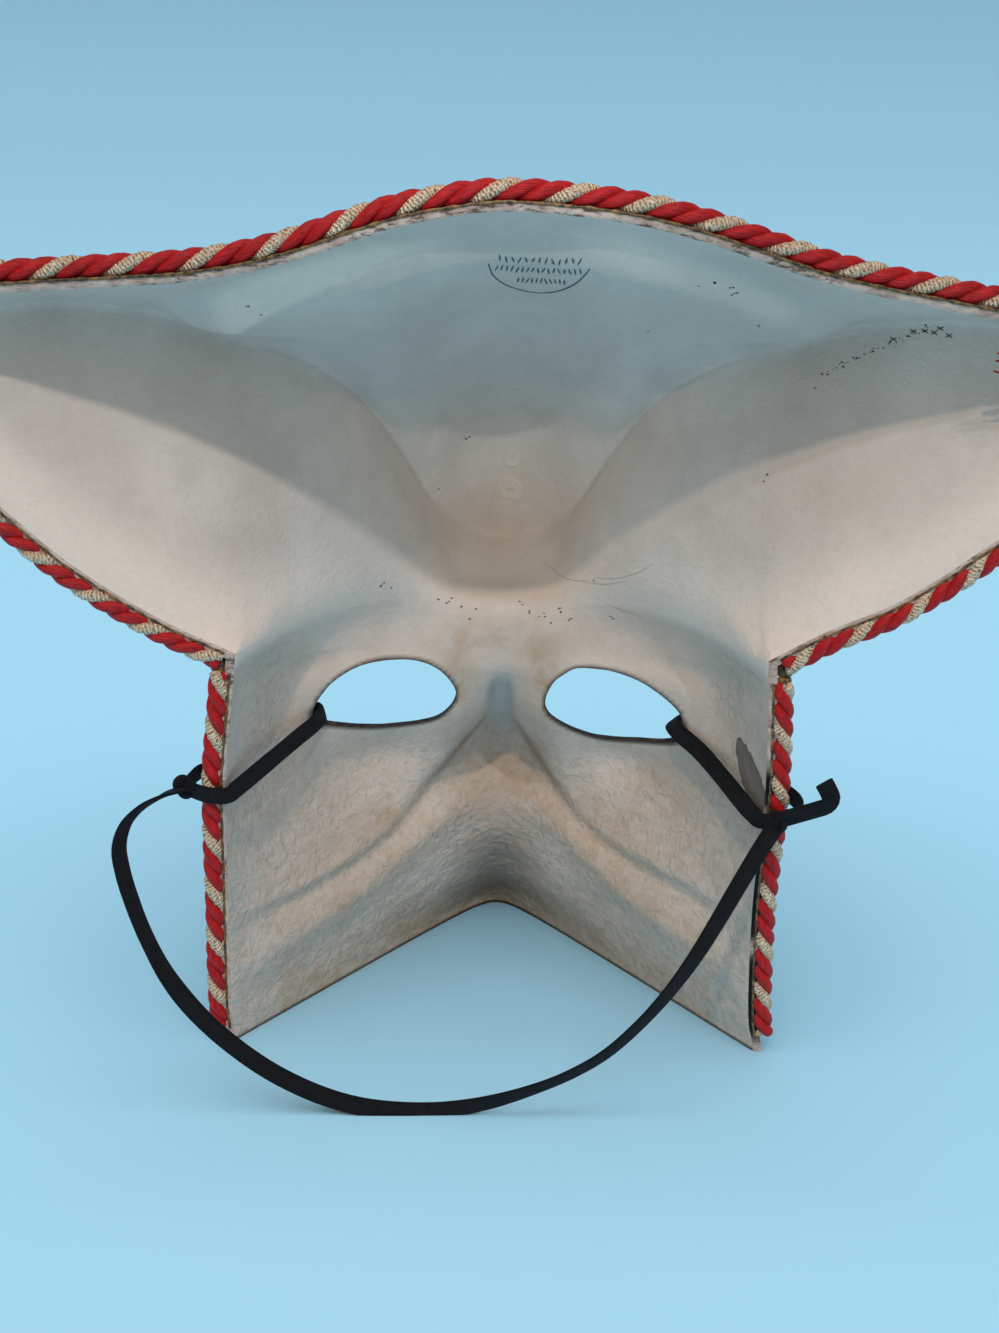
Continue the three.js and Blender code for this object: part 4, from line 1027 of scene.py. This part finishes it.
# Place, edge, run along it, distance out, turn of the lay in mm and where the gold strand starts
TRIMS = [("top", top_edge, TOP_RUN, TOP_OUT, 18.68, 2.95),
         ("wing_left", wing_edge(1), WING_RUN, -WING_OUT, 17.0, 0.0),
         ("wing_right", wing_edge(-1), WING_RUN, WING_OUT, 17.0, 0.0),
         ("side_left", side_edge(1), SIDE_RUN, -LEFT_OUT, 16.7, -2.85),
         ("side_right", side_edge(-1), SIDE_RUN, RIGHT_OUT, 16.8, -3.59)]
for place, edge, run, out, lay, gold_turn in TRIMS:
    twisted_rope(place, beside_edge(edge, run, out, TOP_S if place == "top" else LOWER_S), lay, gold_turn)


# Dried glue: a brown bead squeezed out between each rope and the cut edge, and lumps where the ropes' ends
# meet at the concave corners and the tips. Red threads have come loose from the rope's end at the right tip.
BEAD_OUT_TOP, BEAD_INSIDE_ROPE = 2.35, 2.75
BEAD_WIDE, BEAD_THICK, BEAD_WANDER = 0.42, 0.35, 0.16
# Lumps as middle in x, s and z, half size in x, s and z, and seed
GLUE_LUMPS = [((77.6, 3.2, 121.9), (2.9, 2.2, 1.9), 3.0), ((80.6, 3.4, 123.6), (2.6, 2.0, 1.4), 8.0),
              ((76.9, 2.6, 117.8), (1.3, 1.4, 2.6), 13.0), ((77.4, 2.2, 119.8), (2.4, 1.7, 1.7), 17.0),
              ((-77.4, 2.2, 119.8), (2.4, 1.7, 1.7), 19.0), ((163.4, 2.4, 196.0), (2.6, 2.4, 2.8), 40.0),
              ((-163.4, 2.4, 196.0), (2.6, 2.4, 2.8), 45.0), ((-77.3, 3.2, 122.6), (2.9, 2.2, 2.0), 21.0),
              ((-80.4, 3.4, 124.6), (2.6, 2.0, 1.4), 27.0), ((-76.6, 1.6, 116.6), (1.4, 1.3, 2.4), 34.0)]
LUMP_ROWS, LUMP_COLUMNS = 11, 18
THREADS, THREAD_RADIUS, THREAD_REACH = 9, 0.26, 31.0
THREAD_START = (-158.5, 1.6, 197.5)


def dried_glue():
    """Hide glue: amber to dark brown, glossy, dirty in its hollows."""
    made, tree = new_material("dried_hide_glue")
    place = add(tree, "TexCoord", out="Object")
    tone = add(tree, "TexNoise", {"Vector": place, "Scale": per_mm(1.6), "Detail": 4.0, "Roughness": 0.7})
    colour = add(tree, "ValToRGB", {0: tone}, stops=((0.4, "#2E1C10"), (0.66, "#A07A44")))
    bump = add(tree, "Bump", {"Height": tone, "Strength": 1.0, "Distance": 0.0003})
    shader = add(tree, "BsdfPrincipled", {
        "Base Color": colour, "Normal": bump, "Roughness": 0.35, "IOR": 1.53})
    add(tree, "OutputMaterial", {"Surface": shader})
    return made


def lump(centre, size, seed):
    """A squeezed-out lump: a ball drawn to this size, uneven all over."""
    polar = np.linspace(0, np.pi, LUMP_ROWS + 1)[1:-1]
    turn = np.linspace(0, 2 * np.pi, LUMP_COLUMNS, endpoint=False)
    ball = [(0.0, 0.0, 1.0)]
    ball += [(math.sin(a) * math.cos(b), math.sin(a) * math.sin(b), math.cos(a)) for a in polar for b in turn]
    ball = np.array(ball + [(0.0, 0.0, -1.0)])
    ball = ball * (1 + 0.35 * lumps(ball, 0.9, seed))[:, None] * size + centre
    last = len(ball) - 1
    faces = []
    for j in range(LUMP_COLUMNS):
        k = (j + 1) % LUMP_COLUMNS
        faces += [(0, 1 + j, 1 + k), (last, last - LUMP_COLUMNS + k, last - LUMP_COLUMNS + j)]
        for a in range(1, last - LUMP_COLUMNS, LUMP_COLUMNS):
            b = a + LUMP_COLUMNS
            faces.append((a + j, b + j, b + k, a + k))
    return ball, faces


def bead_section(angles, along, total, slot):
    uneven = 1 + 0.4 * np.sin(along * 1.3) * np.sin(along * 0.37)
    return BEAD_WIDE * uneven * np.cos(angles), BEAD_THICK * np.sin(angles)


def oval(wide, thick):
    def section(angles, along, total, slot):
        return wide * np.cos(angles), thick * np.sin(angles)
    return section


beads = []
for place, edge, run, out, _, _ in TRIMS:
    bead_out = BEAD_OUT_TOP if place == "top" else abs(out) - BEAD_INSIDE_ROPE
    bead = even(beside_edge(edge, run, math.copysign(bead_out, out), 0.0), 0.8)
    bead[:, [0, 2]] += BEAD_WANDER * np.stack([lumps(bead, 5, 71.0), lumps(bead, 5, 83.0)], -1)
    beads.append((bead, 0, frames(bead)))
glue_material = dried_glue()
beads = swept("glue_beads", beads, [glue_material], 8, bead_section)
balls, faces = [], []
for middle, size, seed in GLUE_LUMPS:
    ball, ball_faces = lump(np.array(middle), np.array(size), seed)
    start = sum(len(b) for b in balls)
    balls.append(ball)
    faces += [tuple(v + start for v in face) for face in ball_faces]
glue = mesh_object("dried_glue_corners", in_frame(np.concatenate(balls)), faces, [glue_material])
rng = random.Random(11)
threads = []
for k in range(THREADS):
    rise, bow = rng.uniform(6.0, 16.5), rng.uniform(-2.0, 4.0)
    x, s, z = THREAD_START
    z += 0.3 * k
    fall = [(x, s, z)]
    for step in range(1, 7):
        share = step / 6
        fall.append((x + (THREAD_REACH + rng.uniform(-1.5, 3.5)) * share,
                     s + 2.6 * share + rng.uniform(-0.6, 0.6),
                     z + rise * share + bow * math.sin(math.pi * share) + rng.uniform(-0.5, 0.5)))
    line = even(sampled(fall, 60), 0.5)
    threads.append((line, 0, frames(line)))
threads = swept("loose_red_threads", threads, [ROPE_MATERIALS[0]], 6, oval(THREAD_RADIUS, THREAD_RADIUS))
for piece in (beads, glue, threads):
    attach(piece, "root")


# The elastic: one flat black braid, passed through the outer corner of each eye hole and round the side
# strip of the face, knotted there, with its loop hanging behind to the ground and a short tail.
ELASTIC_WIDTH, ELASTIC_THICK = 5.2, 1.1
KNOT_SIZE, KNOT_WIDE, KNOT_THICK = 2.7, 1.7, 1.15
ON_GROUND_Z = 0.0002
# The route's points as x, s and z
LEFT_KNOT = (88, 0, 84.5)
RIGHT_KNOT = (-78.5, -4.6, 80.5)
LEFT_TIE = [LEFT_KNOT, (87.6, 4, 84.6), (86.2, 8.5, 85), (80.5, 15, 85.6), (76, 24, 86.4), (69.8, 35, 87.4),
            (62.4, 43.9, 88.4), (57, 47, 88.9), (54, 43.6, 89.2), (55.4, 37.2, 88.9), (60, 28.6, 87.6),
            (66, 17.4, 85.8), (72, 6.2, 84), (74.4, 1.6, 83.4), (76, -1.4, 83.1), (79, -2.4, 83.2),
            (83.4, -2, 83.8), LEFT_KNOT]
LOOSE_LOOP = [LEFT_KNOT, (93.3, -9, 85.9), (98, -13, 84.4), (101.5, -17.2, 81.2), (102.9, -20, 76.1),
              (101.9, -22, 69.5), (99.5, -24, 61.5), (95.9, -26, 51.9), (90.3, -28, 40.6), (82.4, -30, 30.2),
              (72.7, -31.5, 20.9), (61.2, -32.5, 12.4), (48, -33, 5.6), (36.5, -33.2, 2.2), (24, -33.2, 1.15),
              (12.5, -33, 1.8), (1.3, -32.8, 4.2), (-9.9, -32.2, 7.9), (-21, -31.2, 12.7), (-31.2, -29.8, 19),
              (-40.6, -27.5, 27.6), (-48.4, -25, 36.6), (-55.3, -22, 46.2), (-61.4, -18.5, 56),
              (-67, -14.5, 65), (-73, -9.5, 73.6), RIGHT_KNOT]
RIGHT_TIE = [RIGHT_KNOT, (-74, -2, 78.8), (-72.2, 1.4, 79), (-70.4, 6.6, 79.4), (-65.4, 18.8, 82),
             (-59.6, 30.2, 85.2), (-53.8, 38, 87.8), (-52.5, 43.6, 88.4), (-55.3, 47.2, 88), (-60.8, 44, 87.2),
             (-67.6, 35, 85.8), (-73.6, 24, 84.2), (-78.2, 15, 82.8), (-83.6, 8.6, 81.8), (-85.4, 3.4, 81.4),
             (-84.6, -1.4, 81.2), RIGHT_KNOT]
TAIL = [RIGHT_KNOT, (-83.5, -5, 82.5), (-88.4, -5, 84.2), (-91.5, -5, 85.6), (-92.3, -5, 87.6),
        (-91.2, -5, 90.2), (-89.8, -5, 92.6)]
# How far the loop's flat side is turned from facing straight back, in degrees, from knot to knot
LOOP_TURN = through((0, 60), (0.1, 55), (0.2, 62), (0.3, 20), (0.45, 25), (0.56, 0), (0.66, -28), (0.76, -32),
                    (0.88, -12), (1, 10))


def braid():
    """Black braided elastic: cotton over rubber, ribbed lengthways, matt with a faint navy bloom."""
    made, tree = new_material("black_braided_elastic")
    yarn = add(tree, "UVMap", uv_map="yarn")
    # eleven ribs on each side, crossed every 0.9 mm by the braid's picks
    ribs = add(tree, "SeparateXYZ", {0: yarn}, out="Y")
    ribs = add(tree, "Math", {0: ribs, 1: 44 * math.pi}, operation="MULTIPLY")
    ribs = add(tree, "Math", {0: ribs}, operation="SINE")
    picks = add(tree, "SeparateXYZ", {0: yarn}, out="X")
    picks = add(tree, "Math", {0: picks, 1: 2 * math.pi / 0.9}, operation="MULTIPLY")
    picks = add(tree, "Math", {0: picks}, operation="SINE")
    height = add(tree, "Math", {0: picks, 1: 0.5, 2: ribs}, operation="MULTIPLY_ADD")
    place = add(tree, "TexCoord", out="Object")
    lint = add(tree, "TexNoise", {"Vector": place, "Scale": per_mm(3.5), "Detail": 4.0})
    colour = add(tree, "ValToRGB", {0: lint}, stops=((0.4, "#060709"), (0.72, "#111217")))
    bump = add(tree, "Bump", {"Height": height, "Strength": 1.0, "Distance": 0.0001})
    shader = add(tree, "BsdfPrincipled", {
        "Base Color": colour, "Normal": bump, "Roughness": 0.8, "IOR": 1.5, "Specular IOR Level": 0.3,
        "Sheen Weight": 0.07, "Sheen Roughness": 0.5, "Sheen Tint": linear("#6C78A8")})
    add(tree, "OutputMaterial", {"Surface": shader})
    return made


def flat_section(angles, along, total, slot):
    c, s = np.cos(angles), np.sin(angles)
    wide, thick = np.sign(c) * np.abs(c) ** 0.75, np.sign(s) * np.abs(s) ** 0.6
    return ELASTIC_WIDTH / 2 * wide, ELASTIC_THICK / 2 * thick


def square_to(directions, tangent):
    return unit(directions - tangent * (directions * tangent).sum(1, keepdims=True))


def ribbon(points, facing):
    """A line and its frames, its flat side turned the way that facing says."""
    line = even(sampled(points, 60 * len(points)), 0.9)
    tangent = unit(np.gradient(line, axis=0))
    face = square_to(facing(line, tangent, np.linspace(0, 1, len(line))), tangent)
    return line, 0, (tangent, np.cross(face, tangent), face)


def away_from(centre, turned_back=0.0, where=0.0):
    """Flat against what the centre lies in, and turned to the back around this share of the length."""
    def facing(line, tangent, share):
        back = turned_back * bell((share - where) / 0.16)[:, None] * np.array((0.0, -1.0, 0.35))
        return unit(line - np.asarray(centre, float)) + back
    return facing


def loop_facing(line, tangent, share):
    back = square_to(np.tile((0.0, -1.0, 0.0), (len(line), 1)), tangent)
    turn = np.radians(LOOP_TURN(share))[:, None]
    return np.cos(turn) * back + np.sin(turn) * np.cross(tangent, back)


def knot_line(centre, size, turn):
    """The two crossing turns of an overhand knot."""
    t = np.linspace(0, 2 * np.pi, 90)
    x, y, z = np.sin(t) + 2 * np.sin(2 * t), 0.8 * (np.cos(t) - 2 * np.cos(2 * t)), -1.1 * np.sin(3 * t)
    c, s = math.cos(turn), math.sin(turn)
    return np.stack([x * c - y * s, z, x * s + y * c], -1) * size / 3 + centre


elastic_black = braid()
parts = [ribbon(LEFT_TIE, away_from((70, 24, 86), 0.8, 0.72)), ribbon(LOOSE_LOOP, loop_facing),
         ribbon(RIGHT_TIE, away_from((-68, 22, 84), 4.0, 0.26)), ribbon(TAIL, away_from((-88, 40, 86)))]
elastic = swept("elastic_band_braid", parts, [elastic_black], 20, flat_section)
knots = []
for centre, turn in ((LEFT_KNOT, 0.5), (RIGHT_KNOT, 1.9)):
    line = knot_line(np.array(centre, float), KNOT_SIZE, turn)
    knots.append((line, 0, frames(line)))
knots = swept("elastic_knots", knots, [elastic_black], 14, oval(KNOT_WIDE, KNOT_THICK))
bpy.ops.object.select_all(action="DESELECT")
elastic.select_set(True)
knots.select_set(True)
bpy.context.view_layer.objects.active = elastic
bpy.ops.object.join()
for vertex in elastic.data.vertices:
    vertex.co.z = max(vertex.co.z, ON_GROUND_Z)
runs = [even(sampled(points, 40 * len(points)), 2.0) for points in (LEFT_TIE, LOOSE_LOOP, RIGHT_TIE, TAIL)]
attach(elastic, "root")
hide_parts("elastic_band")

# Floor and backdrop: one pale matt sheet of painted board, level under the mask and bent up in a curve in
# front of its face, so that no line shows between ground and wall.
floor_colour, tree = new_material("pale_studio_sweep")
shader = add(tree, "BsdfPrincipled", {
    "Base Color": linear("#A9CFE2"), "Roughness": 0.9, "Specular IOR Level": 0.1})
add(tree, "OutputMaterial", {"Surface": shader})
BEND_Y, BEND_RADIUS, SWEEP_HALF_WIDTH = -0.9, 0.5, 3.0
profile = [(2.0, 0.0), (BEND_Y, 0.0)]
for angle in np.linspace(0.1, math.pi / 2, 14):
    profile.append((BEND_Y - BEND_RADIUS * math.sin(angle), BEND_RADIUS * (1 - math.cos(angle))))
profile.append((BEND_Y - BEND_RADIUS, 2.5))
points = [(x, y, z) for x in (-SWEEP_HALF_WIDTH, SWEEP_HALF_WIDTH) for y, z in profile]
count = len(profile)
faces = [(i, i + 1, count + i + 1, count + i) for i in range(count - 1)]
floor = mesh_object("studio_sweep", points, faces, [floor_colour])
floor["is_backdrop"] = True


# Studio light: two small lamps and a wide one from above and behind the camera's side, a ceiling that lights
# the floor only, and a narrow beam under the hat's rim, which lights only the front of the crown and the brow.
def lamp(name, kind, azimuth, elevation, power, colour, lit):
    """A lamp on this side and at this height in degrees, which lights one collection of objects."""
    light = bpy.data.lights.new(name, kind)
    light.energy, light.color = power, colour
    made = bpy.data.objects.new(name, light)
    az, el = math.radians(azimuth), math.radians(elevation)
    toward = Vector((math.sin(az) * math.cos(el), math.cos(az) * math.cos(el), math.sin(el)))
    made.rotation_mode = "QUATERNION"
    made.rotation_quaternion = (-toward).to_track_quat("-Z", "Y")
    bpy.context.collection.objects.link(made)
    made.light_linking.receiver_collection = lit
    return made, toward


def lit_group(name, things):
    group = bpy.data.collections.new(name)
    bpy.context.scene.collection.children.link(group)
    for thing in things:
        group.objects.link(thing)
    return group


BEAM_AIM, BEAM_DISTANCE = Vector((-0.004, -0.043, 0.150)), 2.5
on_mask, on_floor = lit_group("lit_by_lamps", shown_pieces()), lit_group("lit_by_ceiling", [floor])
for name, azimuth, elevation, power, angle, colour, lit in (
        ("key", -23, 60.4, 0.52, 2.1, (0.78, 0.84, 0.97), on_mask),
        ("second", 8, 60.3, 0.72, 2.2, (1.0, 0.79, 0.63), on_mask),
        ("wide", 0, 62, 0.50, 80.0, (1.0, 0.94, 0.88), on_mask),
        ("ceiling", 0, 80, 2.9, 70, (0.78, 0.95, 1.0), on_floor)):
    made, _ = lamp(name, "SUN", azimuth, elevation, power, colour, lit)
    made.data.angle = math.radians(angle)
beam, toward = lamp("beam", "SPOT", 3.6, 38.5, 44.0, (1.0, 0.93, 0.86), on_mask)
beam.data.spot_size, beam.data.spot_blend, beam.data.shadow_soft_size = math.radians(2.3), 0.3, 0.02
beam.location = BEAM_AIM + BEAM_DISTANCE * toward
world = bpy.data.worlds.new("soft_studio")
world.use_nodes = True
world.node_tree.nodes["Background"].inputs["Color"].default_value = (1.0, 0.86, 0.77, 1.0)
world.node_tree.nodes["Background"].inputs["Strength"].default_value = 0.25
bpy.context.scene.world = world
bpy.context.scene.view_settings.view_transform = "Standard"

# The camera stands behind the mask at the photograph's viewing angle and looks down at it, held with a slight
# tilt to one side. Nothing is out of focus.
CAMERA_PLACE = (0.6, 403.9 + RIM_Y, 286.4)
LOOK_DOWN, HELD_ASKEW = math.radians(22), math.radians(1.2)
FILM_WIDTH, FOCAL_PIXELS, FRAME_PIXELS = 36.0, 1600, 999
camera = bpy.data.objects.new("camera", bpy.data.cameras.new("camera"))
camera.data.sensor_fit = "HORIZONTAL"
camera.data.sensor_width = FILM_WIDTH
camera.data.lens = FILM_WIDTH * FOCAL_PIXELS / FRAME_PIXELS
camera.data.clip_start, camera.data.clip_end = 0.01, 20.0
camera.location = [place / 1000 for place in CAMERA_PLACE]
look = Vector((0.0, -math.cos(LOOK_DOWN), -math.sin(LOOK_DOWN)))
camera.rotation_mode = "QUATERNION"
roll = Matrix.Rotation(HELD_ASKEW, 4, "Z").to_quaternion()
camera.rotation_quaternion = look.to_track_quat("-Z", "Y") @ roll
bpy.context.collection.objects.link(camera)
bpy.context.scene.camera = camera

bpy.context.view_layer.update()
